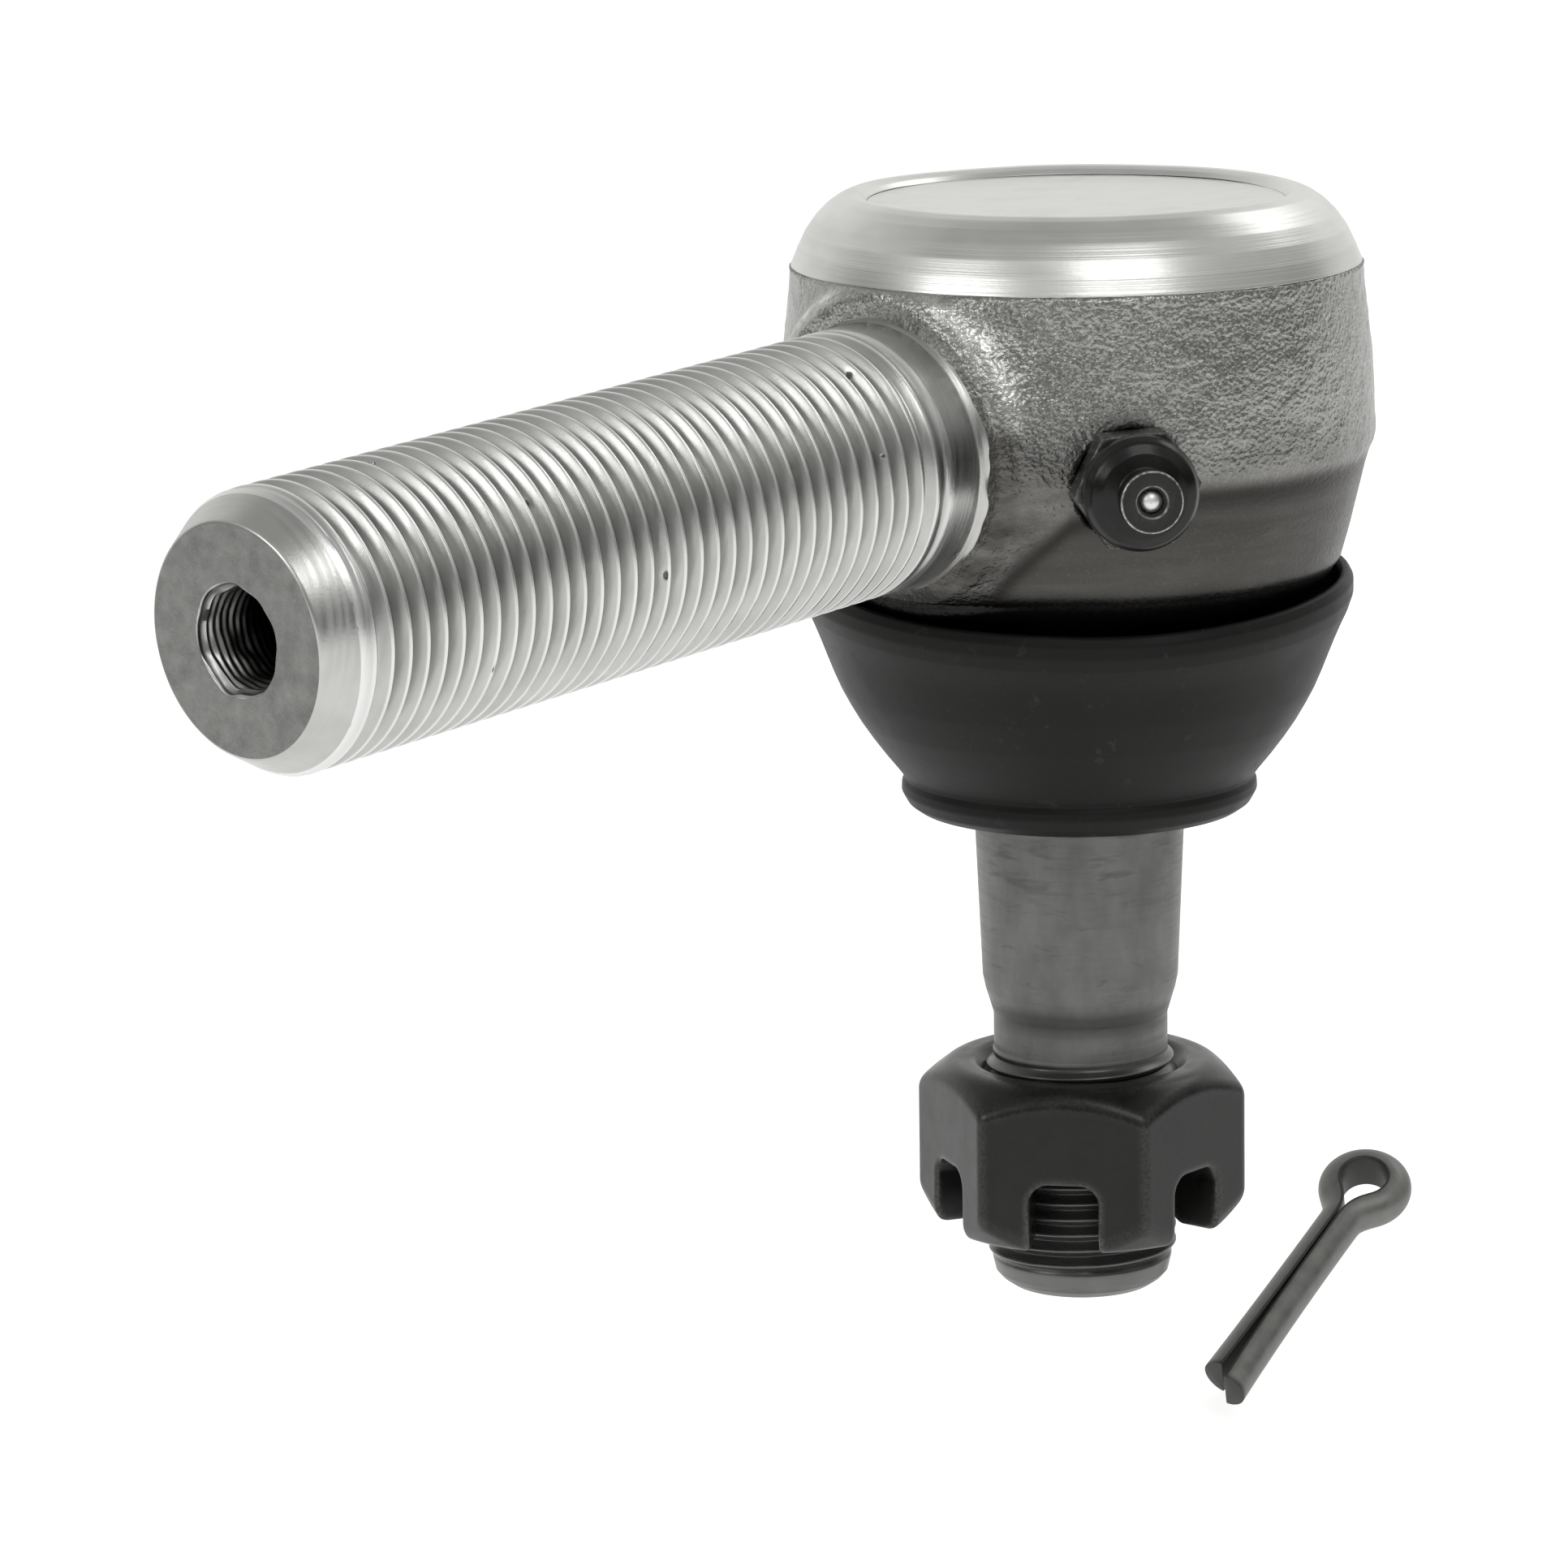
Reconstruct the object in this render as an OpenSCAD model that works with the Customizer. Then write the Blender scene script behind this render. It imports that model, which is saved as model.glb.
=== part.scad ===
// Tie rod end: a threaded shank forged in one piece with a ball socket, a ball stud, a rubber boot,
// a castle nut and its loose cotter pin. Lengths are in millimetres and angles in degrees.
// The ball's centre is the origin, the closed side of the socket is up, and the stud points down.

/* [Socket body] */
// Largest outside radius of the forged socket
barrel_r = 28.95; // [26:0.05:32]
// Outside radius where the forging meets the machined rim
barrel_top_r = 27.85; // [25:0.05:31]
// Height of the edge between forging and machined rim
rim_edge_z = 13.4; // [11:0.1:16]
// Height of the rolled rim's crest
rim_top_z = 20.4; // [18:0.1:24]
// Radius of the rolled rim's crest
rim_crest_r = 22.6; // [21:0.1:24]
// Inside radius of the rolled rim, where the cover plate shows
rim_mouth_r = 20.2; // [18:0.1:21]
// Radius of the bore that holds the bearing seats
bore_r = 18.5; // [17:0.1:20]
// Height of the ledge that carries the lower seat
ledge_z = -12.8; // [-15:0.1:-11]
// Height of the socket's lower face
base_z = -19.5; // [-22:0.1:-18]

/* [Shank] */
// Downward slope of the shank from square to the socket's axis
shank_drop = 4; // [0:0.1:8]
// Length of the shank from the ball's centre to its end face
shank_len = 111; // [80:0.5:160]
// Outside radius of the shank, a 1 inch thread
shank_r = 12.7; // [10:0.05:16]
// Pitch of the shank thread, 12 turns to the inch
shank_pitch = 2.1167; // [1.5:0.0001:3]
// Depth of the shank thread
shank_depth = 1.3; // [0.8:0.01:1.6]
// Number of thread ridges on the shank
shank_turns = 33; // [10:1:50]
// Distance from the ball's centre to the last thread groove
thread_end = 35.9; // [32:0.1:50]
// Radius of the centre hole in the shank's end
centre_hole_r = 4.8; // [3:0.1:6]
// Depth of the centre hole
centre_hole_depth = 14; // [6:0.5:30]

/* [Ball stud] */
// Radius of the ball
ball_r = 15; // [13:0.1:16.5]
// Radius of the stud's neck inside the socket
neck_r = 9.2; // [8:0.05:10]
// Radius of the stud's taper at its large end
taper_r = 10.98; // [10:0.01:13]
// Height of the taper's large end
taper_top_z = -26; // [-30:0.5:-24]
// Height of the taper's small end
taper_low_z = -57.4; // [-70:0.1:-50]
// Taper on the diameter, as one part in this many
taper_ratio = 12; // [8:1:16]
// Crest radius of the stud thread, a 3/4 inch thread
stud_thread_r = 9.42; // [7:0.01:11]
// Root radius of the stud thread
stud_root_r = 8.5; // [6:0.01:10]
// Pitch of the stud thread, 16 turns to the inch
stud_pitch = 1.5875; // [1:0.0001:2.5]
// Height of the stud's end face
stud_end_z = -89; // [-110:0.5:-70]

/* [Castle nut] */
// Distance across the nut's flats, 1 1/8 inch
nut_flats = 28.575; // [20:0.005:36]
// Height of the nut's plain face
nut_top_z = -66; // [-80:0.1:-55]
// Height of the nut from plain face to slotted face
nut_height = 16.5; // [10:0.1:22]
// Width of the nut's slots
slot_w = 6.8; // [4:0.1:8]
// Depth of the nut's slots
slot_depth = 6.9; // [4:0.1:10]
// Turn of the nut's corners about the stud
nut_turn = 3; // [0:1:59]

/* [Cotter pin] */
// Radius of the pin's half-round wire
wire_r = 2.15; // [1:0.05:2.5]
// Inside radius of the pin's eye
eye_r = 2.7; // [2:0.1:5]
// Length of the pin's long leg
long_leg = 25.3; // [15:0.1:60]
// Length of the pin's short leg
short_leg = 24.1; // [15:0.1:60]
// Place of the pin's neck beside the nut
pin_place = [33.5, -6.9, -88.8]; // [-120:0.1:120]
// Turn of the pin about the stud's direction
pin_heading = -57; // [-180:1:180]
// Lean of the pin's flat side
pin_lean = 33.6; // [-90:0.1:90]
// Turn of the pin within its own plane
pin_turn = 64.8; // [-180:0.1:180]

/* [Grease fitting] */
// Angle between the shank and the grease fitting
fitting_angle = 50.4; // [20:0.1:180]
// Height of the grease fitting's axis
fitting_z = -4; // [-8:0.1:4]
// Distance across the fitting's flats, 7/16 inch
fitting_flats = 11.11; // [8:0.01:14]

/* [Rubber boot] */
// Outside radius of the boot's mouth
boot_mouth_r = 27.05; // [24:0.05:30]
// Height of the boot's lower face
boot_base_z = -40.3; // [-46:0.1:-36]
// Wall thickness of the boot
boot_wall = 1.6; // [1:0.1:3]

/* [Hidden] */
$fn = 96;
eps = 0.01;
forged_grey = [0.42, 0.42, 0.41];
machined_steel = [0.75, 0.75, 0.74];
phosphate_grey = [0.36, 0.36, 0.35];
black_steel = [0.14, 0.14, 0.14];
rubber_black = [0.1, 0.1, 0.1];
seat_gap = 0.05;
seat_fit = 0.02;
screw_gap = 0.05;
cut_len = 40;
// Socket cavity
plate_ledge_z = 15.8;
plate_t = 3.7;
plate_bore_r = 21.5;
mouth_top_r = 15.6;
mouth_low_r = 18.2;
seat_contact_z = -7.5;
seat_top_z = -0.6;
seat_low_r = 15.3;
seat_contact_r = 13.05;
upper_seat_z = 0.8;
upper_seat_top_z = 13.2;
upper_seat_recess_r = 8.8;
upper_seat_recess_z = 12;
upper_seat_gap = 0.2;
half_ball_low_z = -9.8;
stud_ball_top_z = 13.4;
// Rubber ring in the ledge under the cover plate
seal_r = 20.15;
seal_wire_r = 0.68;
seal_drop = 0.7;
seal_groove_w = 1.5;
// Relief around the socket's lower end that keeps the forging clear of the boot
lip_relief_r = 25.1;
lip_relief_z = -16;
lip_relief_w = 6;
lip_relief_h = 14;
// Cover plate
plate_fit = 0.05;
plate_lift = 0.02;
plate_step_r = 18.6;
plate_step = 0.25;
// Steel ring on the boot's floor
boot_ring_z = -36.75;
boot_ring_t = 1.5;
boot_ring_r = 13.8;
boot_ring_gap = 0.2;
boot_grip_gap = 0.06;
boot_floor_z = -36.8;
// Shank, measured along its own axis from the ball's centre
collar_s = 28.9;
boss_s = 27.9;
boss_r = 14.5;
chamfer_s = 107.5;
shank_end_r = 10.45;
collar_lip = 0.5;
collar_lip_len = 0.7;
thread_start_gap = 0.8;
hole_point = 2.7;
crest_part = 0.125;
flank_part = 0.375;
// Stud
thread_top_z = -65.3;
relief_r = 8.62;
relief_top_z = -61.2;
thread_low_z = -86;
stud_tip_r = 6.9;
stud_turns = floor((thread_top_z - thread_low_z) / stud_pitch);
pin_hole_r = 2.2;
pin_hole_z = nut_top_z - nut_height + 3.3;
pin_hole_len = 30;
thread_gap = 0.12;
nut_corner_r = nut_flats / 2 / cos(30);
nut_low_z = nut_top_z - nut_height;
nut_edge_r = 16.8;
nut_top_face_r = 12.5;
nut_top_chamfer = 3.3;
nut_low_face_r = 14;
nut_low_chamfer = 2.9;
nut_hole_r = stud_root_r + 0.2;
nut_turns = 9;
nut_mouth_r = 11.2;
slot_shoulder = 2.4;
slot_corner = 0.8;
slot_root_w = 2.8;
taper_slope = 1 / taper_ratio / 2;
taper_low_r = taper_r - (taper_top_z - taper_low_z) * taper_slope;
// Cotter pin
leg_gap = 0.15;
bend_r = 4.5;
eye_x = sqrt((eye_r + bend_r) ^ 2 - (leg_gap + bend_r) ^ 2);
bend_angle = atan2(leg_gap + bend_r, eye_x);
// Grease fitting, measured outwards from the socket's axis
fitting_in = 20.5;
fitting_gap = 0.2;
fitting_hex_s = 29.2;
fitting_hex_t = 3.8;
fitting_dome_s = 34.7;
fitting_end_s = 39.2;
fitting_stem_r = 5.05;
fitting_neck_r = 2.5;
fitting_head_r = 3.25;
fitting_face_r = 3;
fitting_bore_r = 1.45;
ball_hole_r = 1;
check_r = 1.19;
check_s = 37.9;
fitting_bore_s = check_s + 0.67;
fitting_mouth_r = 1.49;
fitting_mouth_t = 0.45;
grease_way_r = 0.9;
grease_hole_r = 1.6;
grease_hole_len = 8;
check_spring_r = 1.05;
check_spring_s = 33.1;
check_spring_len = 3.5;
check_spring_coils = 4;
spring_wire_w = 0.3;
spring_wire_t = 0.8;

function taper_r_at(z) = taper_r - (taper_top_z - z) * taper_slope;

// Ridges of a thread as a list of radius and height, from height z downwards
function ridges(crest, root, pitch, turns, z) = [
    for (i = [0 : turns - 1])
        for (p = [
            [root, 0], [crest, flank_part], [crest, flank_part + crest_part],
            [root, 2 * flank_part + crest_part]
        ])
            [p[0], z - (i + p[1]) * pitch]
];

// Moves children from the vertical to the shank's axis
module along_shank() {
    rotate([0, -(90 + shank_drop), 0]) children();
}

// Moves children from the vertical to the grease fitting's axis
module along_fitting() {
    translate([0, 0, fitting_z]) rotate([0, 0, 180 + fitting_angle]) rotate([0, 90, 0]) children();
}

// Outside of the forged and machined socket
module socket_outside() {
    rotate_extrude() polygon([
        [0, base_z], [22.4, base_z], [24.6, -16.6], [25.7, -15.2], [28.2, -5.6], [28.75, -4.4],
        [barrel_r, -2.4], [barrel_top_r, rim_edge_z - 0.6], [barrel_top_r - 0.3, rim_edge_z],
        [27.1, 14.1], [26.9, 15.2], [26.2, 16.8], [25.2, 18.3], [24, 19.4], [rim_crest_r, rim_top_z],
        [21.5, 20.3], [20.7, 20.05], [rim_mouth_r, 19.65], [rim_mouth_r, plate_ledge_z + plate_t],
        [0, plate_ledge_z + plate_t]
    ]);
}

// Shank with its thread, machined collar and forged root
module shank() {
    along_shank() rotate_extrude() polygon(concat(
        [[0, shank_len], [shank_end_r, shank_len], [shank_r, chamfer_s]],
        ridges(shank_r, shank_r - shank_depth, shank_pitch, shank_turns,
               thread_end + shank_turns * shank_pitch),
        [
            [shank_r, thread_end - thread_start_gap], [shank_r, collar_s],
            [shank_r + collar_lip, collar_s - collar_lip_len],
            [boss_r, boss_s], [15.2, 25.5], [16.2, 23], [16.2, 8], [0, 8]
        ]
    ));
}

// Forged and machined body: socket and threaded shank in one piece
module housing() {
    color(forged_grey) difference() {
        union() {
            socket_outside();
            shank();
        }
        translate([0, 0, ledge_z]) cylinder(h = cut_len, r = bore_r);
        translate([0, 0, plate_ledge_z]) cylinder(h = plate_t + plate_lift, r = plate_bore_r);
        translate([0, 0, plate_ledge_z]) cylinder(h = cut_len, r = rim_mouth_r);
        translate([0, 0, base_z - eps])
            cylinder(h = ledge_z - base_z + 2 * eps, r1 = mouth_low_r, r2 = mouth_top_r);
        translate([0, 0, plate_ledge_z]) rotate_extrude()
            translate([seal_r - seal_groove_w / 2, -2 * seal_drop])
                square([seal_groove_w, 2 * seal_drop + eps]);
        translate([0, 0, lip_relief_z - lip_relief_h]) rotate_extrude()
            translate([lip_relief_r, 0]) square([lip_relief_w, lip_relief_h]);
        along_fitting() {
            translate([0, 0, fitting_in - fitting_gap])
                cylinder(h = cut_len, r = fitting_stem_r + screw_gap);
            translate([0, 0, bore_r - fitting_gap]) cylinder(h = grease_hole_len / 2, r = grease_hole_r);
        }
        along_shank() translate([0, 0, shank_len - centre_hole_depth]) {
            cylinder(h = centre_hole_depth + 1, r = centre_hole_r);
            translate([0, 0, -hole_point]) cylinder(h = hole_point + eps, r1 = 0, r2 = centre_hole_r);
        }
    }
}

// Lower bearing seat, pressed into the bore under the ball
module lower_seat() {
    color(machined_steel) difference() {
        translate([0, 0, ledge_z + seat_fit])
            cylinder(h = seat_top_z - ledge_z - seat_fit, r = bore_r - seat_fit);
        sphere(r = ball_r + seat_gap);
        translate([0, 0, ledge_z - eps])
            cylinder(h = seat_contact_z - ledge_z + 2 * eps, r1 = seat_low_r, r2 = seat_contact_r);
        along_fitting() translate([0, 0, bore_r - grease_hole_len / 2])
            cylinder(h = grease_hole_len, r = grease_hole_r);
    }
}

// Lower half of the ball: a ring in which the stud turns
module half_ball() {
    color(machined_steel) difference() {
        sphere(r = ball_r);
        cylinder(h = ball_r + 1, r = ball_r + 1);
        translate([0, 0, half_ball_low_z - ball_r]) cylinder(h = ball_r, r = ball_r + 1);
        translate([0, 0, -ball_r]) cylinder(h = 2 * ball_r, r = neck_r + seat_gap);
    }
}

// Ball stud: the ball's upper half, neck, taper and thread in one piece
module ball_stud() {
    color(phosphate_grey) difference() {
        union() {
            difference() {
                sphere(r = ball_r);
                translate([0, 0, seat_gap - ball_r - 1]) cylinder(h = ball_r + 1, r = ball_r + 1);
                translate([0, 0, stud_ball_top_z]) cylinder(h = ball_r, r = ball_r);
            }
            rotate_extrude() polygon(concat(
                [
                    [0, 5], [neck_r, 5], [neck_r, -22], [taper_r, taper_top_z],
                    [taper_low_r, taper_low_z], [9.5, -58.2], [9.05, -59.8], [relief_r, relief_top_z],
                    [relief_r, thread_top_z + 0.3]
                ],
                ridges(stud_thread_r, stud_root_r, stud_pitch, stud_turns, thread_top_z),
                [
                    [stud_thread_r, thread_low_z], [stud_tip_r, stud_end_z], [0, stud_end_z]
                ]
            ));
        }
        translate([0, 0, pin_hole_z]) rotate([0, 0, nut_turn + 90]) rotate([0, 90, 0])
            cylinder(h = pin_hole_len, r = pin_hole_r, center = true);
    }
}

// Upper bearing seat, pushed down onto the ball by the spring
module pressure_seat() {
    color(machined_steel) difference() {
        translate([0, 0, upper_seat_z])
            cylinder(h = upper_seat_top_z - upper_seat_z, r = bore_r - upper_seat_gap);
        sphere(r = ball_r + seat_gap);
        translate([0, 0, upper_seat_recess_z]) cylinder(h = ball_r, r = upper_seat_recess_r);
        rotate_extrude() polygon([[17.1, 14], [17.1, 12.6], [18.6, 11.1], [18.6, 14]]);
    }
}

// Cone-shaped spring washer between the upper seat and the cover
module disc_spring() {
    color(machined_steel) rotate_extrude() polygon([
        [9.6, 13.25], [16.8, 14.65], [16.8, 15.7], [9.6, 14.3]
    ]);
}

// Cover plate under the rolled rim
module cover_plate() {
    color(machined_steel) translate([0, 0, plate_ledge_z]) rotate_extrude() polygon([
        [0, plate_lift], [plate_bore_r - plate_fit, plate_lift], [plate_bore_r - plate_fit, plate_t],
        [plate_step_r, plate_t], [plate_step_r - 0.6, plate_t - plate_step], [0, plate_t - plate_step]
    ]);
}

// Rubber ring in the ledge under the cover plate
module seal_ring() {
    color(rubber_black) translate([0, 0, plate_ledge_z]) rotate_extrude()
        translate([seal_r, -seal_drop]) circle(r = seal_wire_r, $fn = 48);
}

// Grease fitting screwed into the side of the socket
module grease_fitting() {
    color(black_steel) along_fitting() difference() {
        union() {
            translate([0, 0, fitting_in]) cylinder(h = fitting_hex_s - fitting_in + 1, r = fitting_stem_r);
            intersection() {
                translate([0, 0, fitting_hex_s])
                    cylinder(h = fitting_hex_t, r = fitting_flats / 2 / cos(30), $fn = 6);
                translate([0, 0, fitting_hex_s])
                    cylinder(h = fitting_hex_t, r1 = 9, r2 = fitting_flats / 2 - 0.1);
            }
            translate([0, 0, fitting_hex_s]) rotate_extrude() polygon([
                [0, 2], [4.95, 2], [4.95, 4.5], [4.55, 5.1], [3.6, 5.5], [fitting_neck_r, 5.5],
                [fitting_neck_r, 7.3], [fitting_head_r, 8.2], [fitting_head_r, 9.2],
                [fitting_face_r, 10], [0, 10]
            ]);
        }
        translate([0, 0, fitting_in - 1]) cylinder(h = cut_len, r = grease_way_r);
        translate([0, 0, check_spring_s - eps])
            cylinder(h = fitting_bore_s - check_spring_s, r = fitting_bore_r);
        translate([0, 0, fitting_bore_s - 2 * eps]) cylinder(h = cut_len, r = ball_hole_r);
        translate([0, 0, fitting_end_s - fitting_mouth_t])
            cylinder(h = fitting_mouth_t + eps, r1 = ball_hole_r, r2 = fitting_mouth_r);
    }
}

// Steel ball that closes the grease fitting
module check_ball() {
    color(machined_steel) along_fitting() translate([0, 0, check_s]) sphere(r = check_r);
}

// Small coil spring behind the check ball
module check_spring() {
    color(machined_steel) along_fitting() translate([0, 0, check_spring_s])
        linear_extrude(height = check_spring_len, twist = -360 * check_spring_coils, slices = 72, $fn = 8)
            translate([check_spring_r, 0]) square([spring_wire_w, spring_wire_t], center = true);
}

// Rubber boot: a bowl that grips the stud and covers the socket's lower end
module dust_boot() {
    color(rubber_black) rotate_extrude() polygon([
        [26.2, -16.3], [26.8, -16.7], [boot_mouth_r, -17.5], [boot_mouth_r, -18.6], [26.6, -20.1],
        [25.9, -21.6], [25.3, -23.1], [24.7, -24.7], [24.04, -26.4], [23.3, -28.1], [22.5, -29.6],
        [21.5, -31.3], [20.4, -32.9], [19.2, -34.5], [17.9, -36.2], [17.2, -37.1], [17.5, -37.8],
        [17.5, -38.6], [16.8, -39.7], [15.8, boot_base_z], [taper_r_at(boot_base_z) + boot_grip_gap, boot_base_z],
        [taper_r_at(boot_floor_z) + boot_grip_gap, boot_floor_z], [15.6, boot_floor_z], [16.4, -36.2], [17.7, -34.7],
        [18.9, -33.1], [20, -31.4], [21, -29.7], [21.8, -28.1], [22.5, -26.4], [23.2, -24.7],
        [23.8, -23.1], [24.4, -21.6], [25, -20.1], [boot_mouth_r - boot_wall, -18.6],
        [boot_mouth_r - boot_wall, -16.9], [25.75, -16.4]
    ]);
}

// Steel ring on the boot's floor, around the stud
module boot_ring() {
    color(black_steel) difference() {
        translate([0, 0, boot_ring_z]) cylinder(h = boot_ring_t, r = boot_ring_r);
        translate([0, 0, boot_ring_z - 1])
            cylinder(h = boot_ring_t + 2, r = taper_r_at(boot_ring_z + boot_ring_t) + boot_ring_gap);
    }
}

// Castle nut with six slots in its lower end
module castle_nut() {
    color(black_steel) rotate([0, 0, nut_turn]) difference() {
        intersection() {
            translate([0, 0, nut_low_z]) cylinder(h = nut_height, r = nut_corner_r, $fn = 6);
            rotate_extrude() polygon([
                [0, nut_top_z], [nut_top_face_r, nut_top_z], [nut_edge_r, nut_top_z - nut_top_chamfer],
                [nut_edge_r, nut_low_z + nut_low_chamfer], [nut_low_face_r, nut_low_z], [0, nut_low_z]
            ]);
        }
        rotate_extrude() polygon(concat(
            [[0, nut_top_z + 1], [10.7, nut_top_z + 1], [9.62, nut_top_z - 0.5]],
            [
                for (p = ridges(stud_thread_r + thread_gap, nut_hole_r, stud_pitch, nut_turns,
                                thread_top_z - stud_pitch))
                    p
            ],
            [[nut_mouth_r, nut_low_z - 1], [0, nut_low_z - 1]]
        ));
        for (turn = [0 : 60 : 120])
            rotate([0, 0, turn + 30]) translate([-cut_len / 2, 0, nut_low_z]) rotate([90, 0, 90])
                linear_extrude(height = cut_len) polygon([
                    [-slot_w / 2, -1], [slot_w / 2, -1], [slot_w / 2, slot_depth - slot_shoulder],
                    [slot_w / 2 - 0.7, slot_depth - slot_corner], [slot_root_w / 2, slot_depth],
                    [-slot_root_w / 2, slot_depth], [0.7 - slot_w / 2, slot_depth - slot_corner],
                    [-slot_w / 2, slot_depth - slot_shoulder]
                ]);
    }
}

// Half-round wire section: the flat side is at x = r, the round side faces away from or to the axis
module wire_section(r, side) {
    polygon([for (turn = [-90 : 22.5 : 90]) [r + side * wire_r * cos(turn), wire_r * sin(turn)]]);
}

// One leg of the pin with the bend that leads to its eye
module pin_leg(length) {
    translate([-length, leg_gap, 0]) rotate([90, 0, 90]) linear_extrude(height = length + eps)
        polygon([for (turn = [0 : 22.5 : 180]) [wire_r * sin(turn), wire_r * cos(turn)]]);
    translate([0, leg_gap + bend_r, 0]) rotate([0, 0, -90])
        rotate_extrude(angle = 90 - bend_angle + 0.2) wire_section(bend_r, -1);
}

// Loose cotter pin beside the nut
module cotter_pin() {
    color(phosphate_grey)
        translate(pin_place) rotate([0, 0, pin_heading]) rotate([pin_lean, 0, 0]) rotate([0, 0, pin_turn]) {
            pin_leg(short_leg);
            rotate([180, 0, 0]) pin_leg(long_leg);
            translate([eye_x, 0, 0]) rotate([0, 0, -180 + bend_angle])
                rotate_extrude(angle = 360 - 2 * bend_angle) wire_section(eye_r, 1);
        }
}

housing();
lower_seat();
half_ball();
ball_stud();
pressure_seat();
disc_spring();
cover_plate();
seal_ring();
grease_fitting();
check_ball();
check_spring();
dust_boot();
boot_ring();
castle_nut();
cotter_pin();
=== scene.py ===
# Looks of the tie rod end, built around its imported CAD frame. Shapes are written in millimetres.
import math

import bmesh
import bpy
import numpy as np
import openvdb
from mathutils import Matrix


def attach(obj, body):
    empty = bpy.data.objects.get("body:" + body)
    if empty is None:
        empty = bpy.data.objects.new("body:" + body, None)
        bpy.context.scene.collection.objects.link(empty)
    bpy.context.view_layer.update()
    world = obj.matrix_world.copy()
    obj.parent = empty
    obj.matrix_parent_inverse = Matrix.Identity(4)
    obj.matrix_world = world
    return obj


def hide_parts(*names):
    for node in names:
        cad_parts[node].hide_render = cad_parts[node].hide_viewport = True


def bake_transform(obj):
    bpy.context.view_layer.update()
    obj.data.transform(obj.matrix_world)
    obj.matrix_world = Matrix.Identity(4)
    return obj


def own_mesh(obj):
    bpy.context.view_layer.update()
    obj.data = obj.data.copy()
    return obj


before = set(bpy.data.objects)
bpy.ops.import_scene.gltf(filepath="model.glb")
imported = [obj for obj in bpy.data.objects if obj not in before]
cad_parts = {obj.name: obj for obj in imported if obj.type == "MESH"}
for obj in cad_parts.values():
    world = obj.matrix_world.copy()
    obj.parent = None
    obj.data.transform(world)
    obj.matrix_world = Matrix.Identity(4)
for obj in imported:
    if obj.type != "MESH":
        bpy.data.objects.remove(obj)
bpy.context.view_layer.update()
MM = 0.001

# ---------------------------------------------------------------- camera

AZIMUTH, ELEVATION, ROLL = math.radians(-46.976), math.radians(11.860), math.radians(-0.905)
CAMERA_AT = (-0.469066, -0.397999, 0.091149)


def direction_to(azimuth, elevation):
    """The way to a light or camera. Azimuth 0 is on the -Y side and 90 on the +X side."""
    flat = math.cos(elevation)
    return np.array([math.sin(azimuth) * flat, -math.cos(azimuth) * flat, math.sin(elevation)])


back = direction_to(AZIMUTH, ELEVATION)
right = np.cross(-back, [0, 0, 1])
right /= np.linalg.norm(right)
up = np.cross(right, -back)
right, up = right * math.cos(ROLL) + up * math.sin(ROLL), up * math.cos(ROLL) - right * math.sin(ROLL)
camera = bpy.data.objects.new("camera", bpy.data.cameras.new("camera"))
bpy.context.scene.collection.objects.link(camera)
camera.matrix_world = Matrix([[*row] for row in zip(right, up, back, CAMERA_AT)] + [[0, 0, 0, 1]])
camera.data.lens = 146.311
camera.data.sensor_width = 36
camera.data.clip_start, camera.data.clip_end = 0.05, 60
bpy.context.scene.camera = camera
bpy.context.scene.view_settings.view_transform = "Standard"

# ---------------------------------------------------------------- numbers shared by several pieces

SHANK_TILT = math.radians(4)
SHANK_AXIS = np.array([-math.cos(SHANK_TILT), 0, -math.sin(SHANK_TILT)])
SHANK_SIDE = np.array([0.0, 1.0, 0.0])
SHANK_UP = np.array([-math.sin(SHANK_TILT), 0, math.cos(SHANK_TILT)])
FITTING_TURN = math.radians(230.4)
FITTING_AXIS = np.array([math.cos(FITTING_TURN), math.sin(FITTING_TURN), 0])
FITTING_SIDE = np.array([-math.sin(FITTING_TURN), math.cos(FITTING_TURN), 0])
FITTING_UP = np.array([0, 0, 1.0])
FITTING_Z = -4.0
NUT_TURN = math.radians(3)
SHANK_R, SHANK_PITCH = 12.7, 2.1167
STUD_R, STUD_ROOT, STUD_PITCH = 9.42, 8.62, 1.5875

# ---------------------------------------------------------------- small numeric tools


def value_noise(p, cell, seed):
    """Smooth noise from 0 to 1 at points p, with features about one cell wide."""
    table = np.random.default_rng(seed).random(8192)
    q = np.asarray(p, float) / cell + 100.0
    base = np.floor(q).astype(np.int64)
    f = q - base
    f = f * f * f * (f * (f * 6 - 15) + 10)
    total = np.zeros(len(q))
    for corner in range(8):
        offset = np.array([corner & 1, corner >> 1 & 1, corner >> 2 & 1])
        c = base + offset
        key = (c[:, 0] * 73856093) ^ (c[:, 1] * 19349663) ^ (c[:, 2] * 83492791)
        w = np.prod(np.where(offset, f, 1 - f), axis=1)
        total += table[key & 8191] * w
    return total


def smooth_step(a, b, x):
    """From 0 at a to 1 at b, without a corner. a may be above b."""
    t = np.clip((np.asarray(x, float) - a) / (b - a), 0, 1)
    return t * t * (3 - 2 * t)


def smooth_max(a, b, k):
    """The larger of two distances, rounded over a width of k where they meet."""
    h = np.clip(0.5 + 0.5 * (a - b) / k, 0, 1)
    return b + (a - b) * h + k * h * (1 - h)


def smooth_min(a, b, k):
    return -smooth_max(-a, -b, k)


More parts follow.
